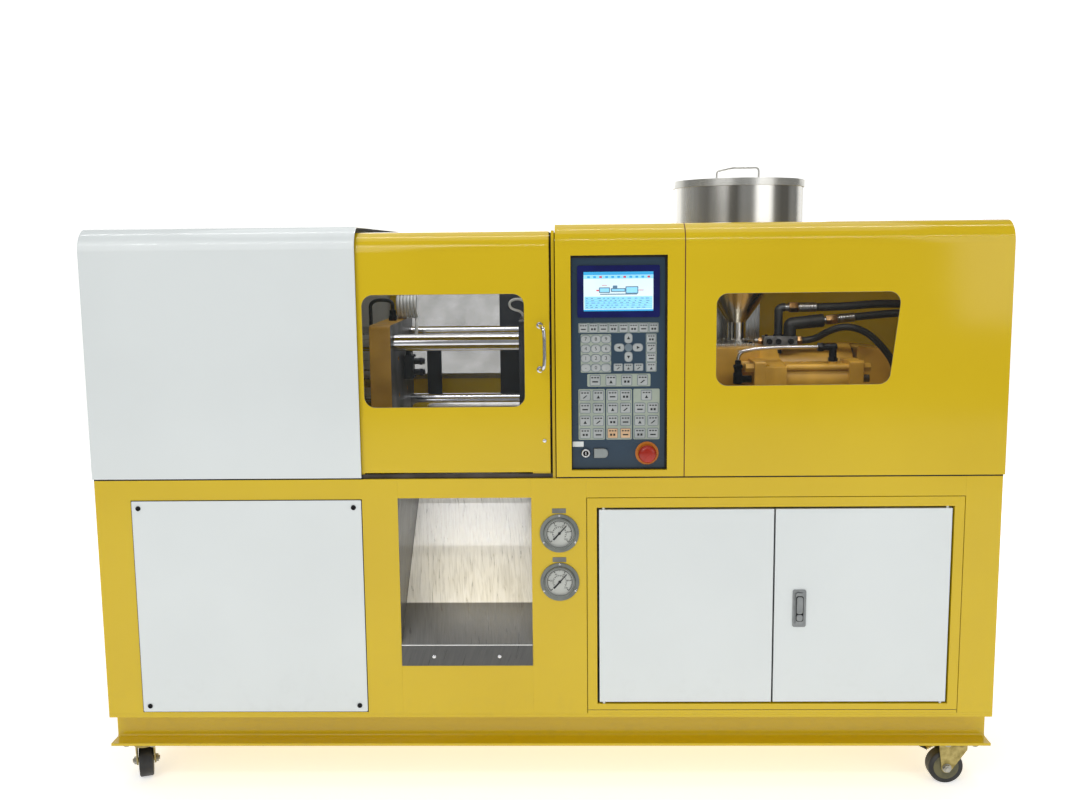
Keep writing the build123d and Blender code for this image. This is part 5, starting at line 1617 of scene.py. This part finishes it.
@dataclass
class LowerCabinet:
    """Cabinet walls, access panels, chute, electric doors and their small parts.

    Attributes:
        access_screws: X and Z of the front access panel's screws.
        panel_mids: X of the middle of each access panel with its side, -1 for the operator's.
        panel_half: half an access panel's width with its gap.
        panel_rise: Z0 and Z1 of the access panels with their gap.
        chute_screws: X and Z of the chute lip's screws.
        chute_fold: X0, X1, Y and Z of the fold over the chute's lip.
        frame_foot: X0, X1 and Z of the seam under the door frame.
        lock: X0, X1 and Z1 of the door lock's plate.
    """

    access_screws: tuple[Spot, ...] = ((-922.0, 676.0), (-431.5, 676.0), (-921.0, 207.0),
                                                      (-432.0, 208.0))
    panel_mids: tuple[tuple[float, int], ...] = ((-675.5, -1), (-676.0, 1), (0.0, 1), (676.0, 1))
    panel_half: float = 261.5
    panel_rise: Spot = (193.0, 692.5)
    chute_screws: tuple[Spot, ...] = ((-257.0, 325.0), (-106.5, 325.0))
    chute_fold: tuple[float, float, float, float] = (-331.0, -30.5, -350.6, 352.0)
    frame_foot: tuple[float, float, float] = (95.5, 938.5, 195.0)
    lock: Point = (560.0, 590.0, 480.0)

    def build(self) -> None:
        """Dress the cabinet and fit its gaskets, screws and lock."""
        dress("cabinet_floor machine_bed front_walls front_rails cabinet_walls door_frame", Paint.SHEET_YELLOW)
        dress("access_panels cabinet_door_left cabinet_door_right electric_cabinet_box", Paint.SHEET_WHITE)
        dress("chute", Paint.STAINLESS_CHUTE)
        dress("door_lock", Paint.LOCK_GREY)
        self.fit_gaskets()
        self.fit_screws()
        self.fit_lock()

    def fit_screws(self) -> None:
        """Drive the panel, chute and rear panel screws."""
        panels = Shape("access_panel_screws")
        for x, z in self.access_screws:
            panels.screw((x, -352.0, z), FRONT, 5.6, 2.4, socket=True)
        for mid in (-676.0, 0.0, 676.0):
            for dx in (-245.0, 245.0):
                for z in (207.5, 676.0):
                    panels.screw((mid + dx, 352.0, z), (0, 1, 0), 4.8, 2.6, socket=True)
        panels.finish(Paint.BLACK_OXIDE, slot="bright_steel")
        lip = Shape("chute_screws")
        for x, z in self.chute_screws:
            lip.screw((x, -351.7, z), FRONT, 4.4, 2.2)
        lip.finish(Paint.CHROME, slot="stainless")
        x0, x1, y, z = self.chute_fold
        # A near-white bead along the fold over the lip: painted highlight
        bent_tube("chute_fold_edge", [(x0, y, z), (x1, y, z)], 1.5, Paint.FOLD_HIGHLIGHT,
                  straight=True)

    def fit_gaskets(self) -> None:
        """Lay the thin black gaskets round the access panels and the seam under the door frame."""
        gaskets = Shape("cabinet_gaskets")
        for mid, side in self.panel_mids:
            gaskets.border((mid - self.panel_half, mid + self.panel_half, *self.panel_rise), 1.7, side * 350.5,
                           -side * 0.5)
        x0, x1, z = self.frame_foot
        gaskets.box((x0, x1), (-350.3, -349.9), (z, z + 1.0), 0.1)
        gaskets.finish(Paint.SEAL, slot="seal_black")

    def fit_lock(self) -> None:
        """Fit the long folding lever and the push button under it in their dark recess."""
        x0, x1, z1 = self.lock
        body = "cabinet_door_right"
        hollow = rectangle((x0 + 6.6, x1 - 6.6, z1 - 72.5, z1 - 13.0), 5.0)
        Shape("lock_recess").plate(hollow, -357.3, 0.6, 0.1).finish(Paint.BLACK_OXIDE, body, "bright_steel")
        lever = Shape("lock_lever")
        lever.plate(rectangle((x0 + 8, x1 - 8, z1 - 54.5, z1 - 14.2), 5.0), -359.4, 2.2, 1.0)
        lever.plate(rectangle((x0 + 8, x1 - 8, z1 - 71.3, z1 - 56.0), 5.0), -359.0, 1.8, 1.0)
        lever.finish(Paint.LOCK_GREY, body, "bright_steel")


@dataclass
class BaseFrame:
    """Channel base with its four swivel casters.

    Attributes:
        half_length: half the length of the long channels.
        tip: distance of the long channels' flange tips from the centreline.
        web: distance of the long channels' webs from the centreline.
        heights: Z of the channels' underside and top.
        flange: flange thickness.
        web_thickness: web thickness.
        root: radius of the rolled fillet where a flange meets the web.
        corners: name, swivel X, swivel Y and heading in degrees of each caster.
        trail: distance of the axle behind the swivel.
        axle_height: Z of the axles.
        wheel_half: half the wheel's width.
        plate_foot: Z of the top plates' underside.
        bolt_spread: half the spacing of the top plates' bolts.
        pad_length: length of the brake lever's pad along the trail.
    """

    half_length: float = 1020.0
    tip: float = 350.0
    web: float = 302.0
    heights: Spot = (108.0, 184.0)
    flange: float = 6.0
    web_thickness: float = 5.0
    root: float = 5.0
    corners: tuple[tuple[str, float, float, float], ...] = (
        ("front_left", -960.0, -300.0, 110.0), ("front_right", 960.0, -300.0, 180.0),
        ("rear_left", -960.0, 300.0, 0.0), ("rear_right", 960.0, 300.0, 180.0))
    trail: float = 28.0
    axle_height: float = 40.0
    wheel_half: float = 16.0
    plate_foot: float = 104.2
    bolt_spread: float = 31.0
    pad_length: float = 18.0

    def build(self) -> None:
        """Dress the channels and fit each caster's small parts."""
        self.roll_channels()
        dress("caster_plates", Paint.ZINC_OLIVE)
        for name, x, y, heading in self.corners:
            dress(f"caster_fork_{name}", Paint.ZINC_OLIVE)
            dress(f"caster_wheel_{name}", Paint.TREAD)
            self.fit_caster(name, x, y, math.radians(heading))

    def section(self, tip: float, web: float) -> list[Spot]:
        """Give a rolled channel's section with its root fillets.

        Args:
            tip: place of the flange tips across the channel.
            web: place of the web's back.

        Returns:
            Place across and height of the section's points.
        """
        way = 1 if tip > web else -1
        low, high = self.heights
        inner, t, r = web + way * self.web_thickness, self.flange, self.root
        points = [(tip, low), (web, low), (web, high), (tip, high), (tip, high - t)]
        arc = [(r * (1 - math.cos(turn)), r * (1 - math.sin(turn)))
               for turn in (math.pi / 2 * step / 4 for step in range(5))]
        points += [(inner + way * second, high - t - first) for first, second in arc]
        points += [(inner + way * first, low + t + second) for first, second in arc]
        return points + [(tip, low + t)]

    def roll_channels(self) -> None:
        """Lay the long channels over the full length and set the end ones between them, all open outward."""
        long = Shape("base_channel_long")
        for side in (-1, 1):
            outline = self.section(side * self.tip, side * self.web)
            long.loft([[(x, y, z) for y, z in outline] for x in (-self.half_length, self.half_length)])
        long.finish(Paint.SHEET_YELLOW, slot="machine_yellow", stands_for="base_channels_long")
        ends = Shape("base_channel_ends")
        reach = self.web - 0.3
        for side in (-1, 1):
            outline = self.section(side * self.half_length, side * (self.half_length - self.tip + self.web))
            ends.loft([[(x, y, z) for x, z in outline] for y in (-reach, reach)])
        ends.finish(Paint.SHEET_YELLOW, slot="machine_yellow", stands_for="base_channels_end")

    def fit_caster(self, name: str, x: float, y: float, heading: float) -> None:
        """Fit the hubs, axle nuts, lever pad and plate bolts of one caster.

        Args:
            name: the corner's name.
            x: swivel X.
            y: swivel Y.
            heading: direction in which the wheel trails, in radians.
        """
        along = Vector((math.cos(heading), math.sin(heading), 0))
        across = Vector((-math.sin(heading), math.cos(heading), 0))
        axle = Vector((x, y, self.axle_height)) + along * self.trail
        hubs, nuts = Shape(f"caster_hub_{name}"), Shape(f"caster_axle_nuts_{name}")
        for sign in (-1, 1):
            way = across * sign
            face, outer = axle + way * self.wheel_half, axle + way * (self.wheel_half + 5.5)
            hubs.turned(face - way, way, [(0, 29.0), (1.3, 29.0), (1.6, 28.0), (1.6, 11.0), (2.0, 10.0),
                                          (2.0, 7.0)], 40)
            nuts.nut(outer, way, 6.5, 9.5)
            nuts.turned(outer, way, [(0, 10.5), (1.2, 10.5)], 28)
            nuts.turned(outer, way, [(6.0, 5.2), (9.0, 5.2), (9.6, 4.4)], 20)
        hubs.finish(Paint.HUB, f"caster_wheel_{name}", "black_tread")
        nuts.finish(Paint.ZINC, f"caster_fork_{name}", "zinc_steel")
        start = Vector((x, y, 0)) + along * (self.trail + self.pad_length + 26.0)
        section = ((-11, 0), (11, 0), (11, 3.5), (9, 4.6), (-9, 4.6), (-11, 3.5))
        rings = []
        for share in (0.0, 0.25, 0.5, 0.75, 1.0):
            centre = start + along * (self.pad_length * share) + Vector((0, 0, 79.5 + 9.5 * share))
            rings.append([centre + across * dx + Vector((0, 0, dz)) for dx, dz in section])
        Shape(f"caster_brake_pad_{name}").loft(rings).finish(Paint.RUBBER, f"caster_fork_{name}", "black_rubber")
        bolts = Shape(f"caster_plate_bolts_{name}")
        for dx in (-self.bolt_spread, self.bolt_spread):
            for dy in (-self.bolt_spread, self.bolt_spread):
                place = (x + dx, y + dy, self.plate_foot)
                bolts.nut(place, DOWN, 5.5, 7.0)
                bolts.turned(place, DOWN, [(0, 8.5), (1.2, 8.5)], 24)
        bolts.finish(Paint.ZINC, slot="zinc_steel")


@dataclass
class ClampUnit:
    """Platens, tie bars and the hoses that lie on the platens.

    Attributes:
        bar_places: Y and Z of the tie bars.
        coil: X0, X1, Y and Z of the coiled tube's axis.
        coil_radius: its outer radius.
        coil_turns: number of turns.
        tube_radius: radius of its tube.
    """

    bar_places: tuple[Spot, ...] = ((-145.0, 851.0), (-145.0, 1031.0), (145.0, 851.0), (145.0, 1031.0))
    coil: Rect = (-391.0, -330.0, 80.0, 1106.3)
    coil_radius: float = 31.0
    coil_turns: int = 6
    tube_radius: float = 4.0

    def build(self) -> None:
        """Dress the clamp unit and fit its hoses and fittings."""
        # The fixed platen takes the dark slate enamel as painted shade
        dress("fixed_platen", Paint.CAST_DARK)
        dress("rear_platen", Paint.CAST_YELLOW)
        dress("moving_platen", Paint.CAST_OCHRE)
        dress("tie_bars clamp_ram", Paint.CHROME)
        dress("platen_manifold rear_uprights", Paint.CAST_DARK)
        # The rails are coloured dark as painted shade of the gap under the doors
        dress("door_rails", Paint.RAIL)
        self.wind_coil()
        self.fit_platen_hose()
        self.fit_manifold()
        self.fit_bolts()

    def wind_coil(self) -> None:
        """Wind the white coiled tube and lead its ends to the manifold."""
        x0, x1, y, z = self.coil
        outer, radius = self.coil_radius, self.coil_radius - self.tube_radius
        points = [(x0 + 4, y - 22, z - outer + 3), (x0 + 4, y - 12, z - radius)]
        steps = 16
        for i in range(self.coil_turns * steps + 1):
            angle = -math.pi / 2 + math.tau * i / steps
            x = x0 + self.tube_radius + (x1 - x0 - 2 * self.tube_radius) * i / (self.coil_turns * steps)
            points.append((x, y + radius * math.cos(angle), z + radius * math.sin(angle)))
        points += [(x1 - 4, y - 14, z - radius - 3), (x1 - 2, y - 30, z - radius - 18), (x1 - 3, y - 38, z - 72)]
        bent_tube("coil_hose_wound", points, self.tube_radius, Paint.NYLON, "moving_platen",
                  stands_for="coil_hose")

    def fit_platen_hose(self) -> None:
        """Bend the black hose over the moving platen, with a fitting at each end."""
        way = ((-385, 1075), (-385, 1102), (-385, 1127), (-441, 1127), (-441, 1090), (-441, 1040), (-413, 1040))
        bent_tube("platen_hose_bent", [(x, 0, z) for x, z in way], 4.6, Paint.HOSE, "moving_platen",
                  stands_for="platen_hose")
        ends = Shape("platen_hose_fittings")
        ends.nut((-385, 0, 1075), UP, 12.0, 11.0)
        ends.nut((-413, 0, 1040), LEFT, 11.0, 11.0)
        ends.turned((-385, 0, 1087), UP, [(0, 8.4), (14, 8.4), (15, 7.6)], 24)
        ends.finish(Paint.BLACK_OXIDE, "moving_platen", "pipe_steel")

    def fit_manifold(self) -> None:
        """Fit the cluster of push-in fittings and screws on the moving platen's manifold."""
        cluster = Shape("manifold_fittings")
        for rise in (-1.0, 27.0):
            z = AXIS_HEIGHT + rise
            cluster.nut((-325, 40, z), RIGHT, 7.0, 10.5)
            cluster.turned((-318, 40, z), RIGHT, [(0, 7.5), (5, 7.5), (6, 6.6)], 24)
        for y in (24.0, 56.0):
            for rise in (-12.0, 40.0):
                cluster.screw((-341, y, AXIS_HEIGHT + rise), RIGHT, 3.4, 3.0, socket=True)
        cluster.finish(Paint.NAVY_FITTING, "moving_platen", "bright_steel")
        elbows = Shape("manifold_elbows")
        for y, z in ((28.0, 990.0), (52.0, 996.0)):
            elbows.turned((-352, y, z - 6), UP, [(0, 6.5), (12, 6.5), (13, 5.6)], 20)
            elbows.nut((-352, y, z - 5), UP, 5.0, 8.0)
        elbows.finish(Paint.BLACK_OXIDE, "moving_platen", "pipe_steel")

    def fit_bolts(self) -> None:
        """Add washers under the tie bar nuts and the cylinder flange's bolts."""
        washers = Shape("tie_bar_washers")
        for y, z in self.bar_places:
            for x, way in ((-0.4, RIGHT), (-809.6, LEFT)):
                washers.turned((x, y, z), way, [(0, 35.0), (2.4, 35.0)], 40)
        washers.finish(Paint.STEEL, slot="bright_steel")
        flange = Shape("clamp_cylinder_bolts")
        for y, rise in circle(8, 98.0, 0.5):
            flange.screw((-810, y, AXIS_HEIGHT + rise), LEFT, 8.0, 9.0, socket=True)
        flange.finish(Paint.BLACK_OXIDE, slot="bright_steel")


@dataclass
class InjectionUnit:
    """Injection housing, barrel, cylinders, feed throat and hopper.

    Attributes:
        bands: X of the first and of the last heater band.
        band_count: number of heater bands.
        hopper_x: X of the hopper's axis.
        weld: radius and Z of the weld between the hopper's drum and cone.
        neck: Z of the flange at the hopper's neck.
    """

    bands: Spot = (117.0, 335.0)
    band_count: int = 5
    hopper_x: float = 478.0
    weld: Spot = (156.0, 1250.0)
    neck: float = 1015.5

    def build(self) -> None:
        """Dress the unit and fit bolts, bands and the hopper's rim."""
        dress("injection_base injection_housing injection_cylinder motor_cover tie_rod_cylinders", Paint.CAST_YELLOW)
        dress("barrel", Paint.ZINC)
        dress("feed_plate", Paint.STAINLESS_UP)
        dress("hopper", Paint.STAINLESS_ROUND)
        dress("hopper_lid", Paint.STAINLESS_LID)
        self.fit_bolts()
        self.fit_band_clamps()
        self.fit_hopper_rim()

    def fit_bolts(self) -> None:
        """Drive the cap screws of the yoke, base, feed plate and motor cover."""
        bolts = Shape("injection_unit_bolts")
        for y, z in ((-95, 1000), (95, 1000), (-95, 805), (95, 805), (-60, 1000), (60, 1000)):
            bolts.screw((565, y, z), RIGHT, 7.5, 8.0, socket=True)
        for x in (408.0, 505.0):
            for y in (-62.0, 62.0):
                bolts.screw((x, y, self.neck), UP, 4.5, 4.5, socket=True)
        for x in (390.0, 540.0, 760.0, 890.0):
            for y in (-128.0, 128.0):
                bolts.screw((x, y, 790), UP, 6.5, 6.5, socket=True)
        for x in (780.0, 860.0):
            for z in (805.0, 940.0):
                bolts.screw((x, -60, z), FRONT, 3.6, 2.4, socket=True)
        for y, rise in circle(8, 56.0, 0.5):
            bolts.screw((756, y, AXIS_HEIGHT + rise), RIGHT, 6.0, 7.0, socket=True)
        bolts.finish(Paint.BLACK_OXIDE, slot="bright_steel")

    def fit_band_clamps(self) -> None:
        """Fit the clamp lugs and terminal posts of the heater bands."""
        lugs = Shape("heater_band_clamps")
        first, last = self.bands
        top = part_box("barrel")[1].z / MM
        for index in range(self.band_count):
            x = first + (last - first) * index / (self.band_count - 1)
            lugs.box((x + 8, x + 37), (-7, 7), (top - 4, top + 9))
            lugs.screw((x + 22, -7, top + 3), FRONT, 3.5, 3.0, socket=True)
            for dx in (16, 29):
                lugs.turned((x + dx, 22, top - 7), (0, 0.4, 1), [(0, 4.0), (12, 4.0), (13, 3.0)], 16)
        lugs.finish(Paint.STEEL, slot="zinc_steel")

    def fit_hopper_rim(self) -> None:
        """Lay the hopper's weld and fit the flange at its neck."""
        radius, height = self.weld
        ring = [(self.hopper_x + dx, y, height) for dx, y in circle(96, radius)]
        bent_tube("hopper_weld_bead", ring, 1.4, Paint.STAINLESS_ROUND, cyclic=True, straight=True)
        neck = Shape("hopper_neck_flange")
        neck.turned((self.hopper_x, 0, self.neck), UP, [(0, 36.0), (5.0, 36.0), (5.6, 35.2), (5.6, 24.0)], 48)
        for dx, y in circle(6, 30.0):
            neck.screw((self.hopper_x + dx, y, self.neck + 5.5), UP, 3.4, 3.4, socket=True)
        neck.finish(Paint.STAINLESS_UP, slot="stainless")


@dataclass
class Hydraulics:
    """Hoses, couplings, manifold block and the steel oil pipe of the injection unit.

    Attributes:
        left: X of the injection housing's left face.
        thread_pitch: spacing of the ridges on the spiral-wound oil pipe.
    """

    left: float = 395.0
    thread_pitch: float = 4.0

    def build(self) -> None:
        """Make every hose with its fittings."""
        self.brass, self.bright, self.dark = (Shape(f"hydraulic_{name}") for name in ("nuts", "ferrules", "elbows"))
        self.pressure_line()
        self.return_line()
        self.base_line()
        self.oil_pipe()
        self.block()
        self.brass.finish(Paint.BRASS, slot="pipe_steel", stands_for="hose_fittings")
        self.bright.finish(Paint.STEEL, slot="pipe_steel")
        self.dark.finish(Paint.BLACK_OXIDE, slot="pipe_steel")
        loop = ((-52, 1085), (-52, 1100), (-84, 1107), (-86, 1127), (-58, 1133), (-38, 1113), (-38, 1085))
        bent_tube("loop_tube", [(x, -100, z) for x, z in loop], 3.0, Paint.NYLON)

    def at(self, x: float, y: float, z: float) -> Point:
        """Turn a place on the injection unit into the machine's X, Y and Z."""
        return (self.left + x, y, AXIS_HEIGHT + z)

    def route(self, *places: Point) -> list[Point]:
        """Turn a row of places on the injection unit into the machine's X, Y and Z."""
        return [self.at(*place) for place in places]

    def crimp(self, start: Point, axis: Point, nut_radius: float, hose_radius: float, nut_length: float,
              ferrule_length: float) -> Point:
        """Make a swivel nut and a crimped ferrule along an axis.

        Args:
            start: where the nut starts.
            axis: direction of the hose.
            nut_radius: radius over the nut's corners.
            hose_radius: radius of the hose.
            nut_length: length of the nut.
            ferrule_length: length of the ferrule.

        Returns:
            Where the hose leaves the ferrule.
        """
        way = Vector(axis).normalized()
        self.brass.nut(start, axis, nut_length, nut_radius)
        seat = tuple(Vector(start) + way * nut_length)
        profile = [(0, hose_radius * 0.8), (2.0, hose_radius * 0.8), (2.4, hose_radius + 1.6)]
        ridges = 5
        for i in range(ridges):
            along = 3.5 + (ferrule_length - 7) * i / ridges
            profile += [(along + step, hose_radius + rise)
                        for step, rise in ((0, 1.8), (2.0, 1.8), (2.6, 1.1), (3.2, 1.1))]
        profile += [(ferrule_length - 1.5, hose_radius + 1.8), (ferrule_length, hose_radius + 0.6)]
        self.bright.turned(seat, axis, profile, 32)
        return tuple(Vector(seat) + way * ferrule_length)

    def pressure_line(self) -> None:
        """Lead the pressure hose from the centre cylinder's elbow to the valve block."""
        elbow = self.route((182.5, -30, 61), (182.5, -30, 110), (182.5, -30, 140), (182.5, -30, 160), (197, -30, 160))
        bent_tube("pressure_elbow", elbow, 10.5, Paint.PIPE)
        self.dark.nut(elbow[0], UP, 13.0, 17.0)
        self.bright.turned(self.at(197, -30, 160), RIGHT, [(0, 9.0), (10, 9.0)], 28)
        leave = self.crimp(self.at(207, -30, 160), RIGHT, 14.0, 10.0, 22.0, 46.0)
        way = self.route((340, -30, 160), (425, -30, 168), (530, -32, 164), (573, -36, 99), (580, -40, -11),
                         (580, -40, -66))
        bent_tube("pressure_hose", [leave, *way], 10.0, Paint.HOSE, stands_for="hydraulic_hoses")
        self.brass.nut(self.at(580, -40, -81), UP, 16.0, 15.0)

    def return_line(self) -> None:
        """Lead the return hose from its rubber boot to the valve block."""
        boot = self.route((205, -57.5, 92), (205, -57.5, 108), (205, -57.5, 121), (224, -57.5, 123),
                          (287, -57.5, 129))
        bent_tube("boot_elbow", boot, 15.5, Paint.RUBBER)
        way, end = Vector((82.0, 0.0, 8.0)).normalized(), Vector(boot[-1])
        ring = Shape("boot_ribs")
        for index in range(4):
            ring.turned(end - way * (8 + 9 * index), way, [(0, 16.4), (3.5, 16.4)], 36)
        ring.finish(Paint.RUBBER, slot="black_rubber")
        self.bright.turned(end, way, [(0, 8.5), (5, 8.5)], 28)
        leave = self.crimp(end + way * 5, way, 13.0, 9.5, 28.0, 42.0)
        run = [leave, tuple(Vector(leave) + way * 65)]
        run += self.route((485, -66, 147), (538, -76, 99), (550, -85, 19), (550, -85, -66))
        bent_tube("return_hose", run, 9.5, Paint.HOSE)
        self.brass.nut(self.at(550, -85, -81), UP, 16.0, 14.5)

    def base_line(self) -> None:
        """Lead the third hose from the manifold block in an arc to the base plate."""
        self.brass.nut(self.at(222, -57.5, 80), RIGHT, 13.0, 12.0)
        way = self.route((233, -57.5, 80), (263, -57.5, 80), (293, -85, 105), (330, -106, 119), (380, -110, 104),
                         (420, -110, 65), (449, -110, 24), (457, -110, -45), (457, -110, -126))
        bent_tube("base_hose", way, 8.5, Paint.HOSE)
        self.brass.nut(self.at(457, -110, -151), UP, 24.0, 14.0)

    def oil_pipe(self) -> None:
        """Wind the bright oil pipe on the front cylinder with its elbows and studs."""
        points = self.route((63, -165, 44), (63, -165, 62), (100, -165, 69), (150, -165, 73), (252, -165, 73))
        bent_tube("oil_pipe", points, 4.4, Paint.CHROME)
        spiral: list[Point] = []
        run = [Vector(p) for p in points[1:]]
        for low, high in zip(run, run[1:]):
            way = high - low
            first, second = square_axes(way)
            turns = max(int(way.length / self.thread_pitch), 1)
            for i in range(turns * 8):
                angle = math.tau * i / 8
                out = (first * math.cos(angle) + second * math.sin(angle)) * 4.5
                spiral.append(tuple(low + way * (i / (turns * 8)) + out))
        bent_tube("oil_pipe_winding", spiral, 1.0, Paint.CHROME)
        stud = [(0, 9.5), (1.5, 11.0), (26, 11.0), (27.5, 9.0), (38, 9.0), (38, 7.0), (56, 7.0)]
        self.dark.turned(self.at(63, -165, -13), UP, stud, 28)
        self.dark.nut(self.at(63, -165, 24), UP, 9.0, 12.0)
        ridges = [(i * 3.0 + step, radius) for i in range(11) for step, radius in ((0, 8.2), (1.5, 9.2))]
        self.dark.turned(self.at(63, -165, -2), RIGHT, ridges, 24)
        self.dark.nut(self.at(250, -165, 73), RIGHT, 14.0, 11.5)
        self.dark.turned(self.at(264, -165, 73), RIGHT, [(0, 8.5), (18, 9.0), (28, 9.4), (31, 7.0)], 28)
        self.dark.turned(self.at(286, -165, 39), UP, [(0, 9.0), (22, 9.0), (34, 9.2)], 28)
        self.dark.nut(self.at(286, -165, 39), UP, 9.0, 12.0)
        self.bright.nut(self.at(348, -165, -2), RIGHT, 9.0, 13.0)
        grooved = [(0, 9.5), (3, 9.5), (3.4, 8.4), (6, 8.4), (6.4, 9.5), (9, 9.5), (9.4, 8.4), (12, 8.4), (12.4, 9.5),
                   (15, 9.0)]
        self.bright.turned(self.at(357, -165, -2), RIGHT, grooved, 28)

    def block(self) -> None:
        """Make the grey manifold block with screws, plugs and knobs, and the valve block behind."""
        x0, x1 = self.left + 139, self.left + 222
        z0 = 1009.0
        body = Shape("manifold_block")
        body.box((x0, x1), (-70, -45), (z0, z0 + 24))
        body.box((925, 1000), (-110, 30), (740, 860), 1.5)
        body.finish(Paint.STEEL, slot="pipe_steel")
        self.brass.nut((x0, -57.5, z0 + 12), LEFT, 12.0, 9.0)
        self.bright.turned((x0 - 12, -57.5, z0 + 12), LEFT, [(0, 6.5), (8, 6.5), (10, 5.0)], 24)
        for x in (x0 + 8, x0 + 28, x0 + 48):
            self.dark.screw((x, -64, z0 + 24), UP, 4.0, 4.0, socket=True)
        for x in (x0 + 14, x0 + 36, x0 + 66):
            self.dark.turned((x, -70, z0 + 11), FRONT, [(0, 5.0), (3, 5.0), (3.4, 7.0), (9, 7.0), (10, 6.2)], 24)
        for x in (935, 990):
            for z in (752, 848):
                self.dark.screw((x, -110, z), FRONT, 5.0, 5.0, socket=True)


def main() -> None:
    """Build every sub-assembly in order and report it."""
    logging.basicConfig(level=logging.INFO, format="%(message)s")
    parts = (Studio(), UpperCovers(), SafetyDoor(side=-1), SafetyDoor(side=1), ControlPanel(), PressureGauges(),
             LowerCabinet(), BaseFrame(), ClampUnit(), InjectionUnit(), Hydraulics())
    for part in parts:
        before = {o.name for o in bpy.data.objects}
        part.build()
        for made in sorted({o.name for o in bpy.data.objects} - before):
            log.info("%s: %s", type(part).__name__, made)


if __name__ == "__main__":
    main()
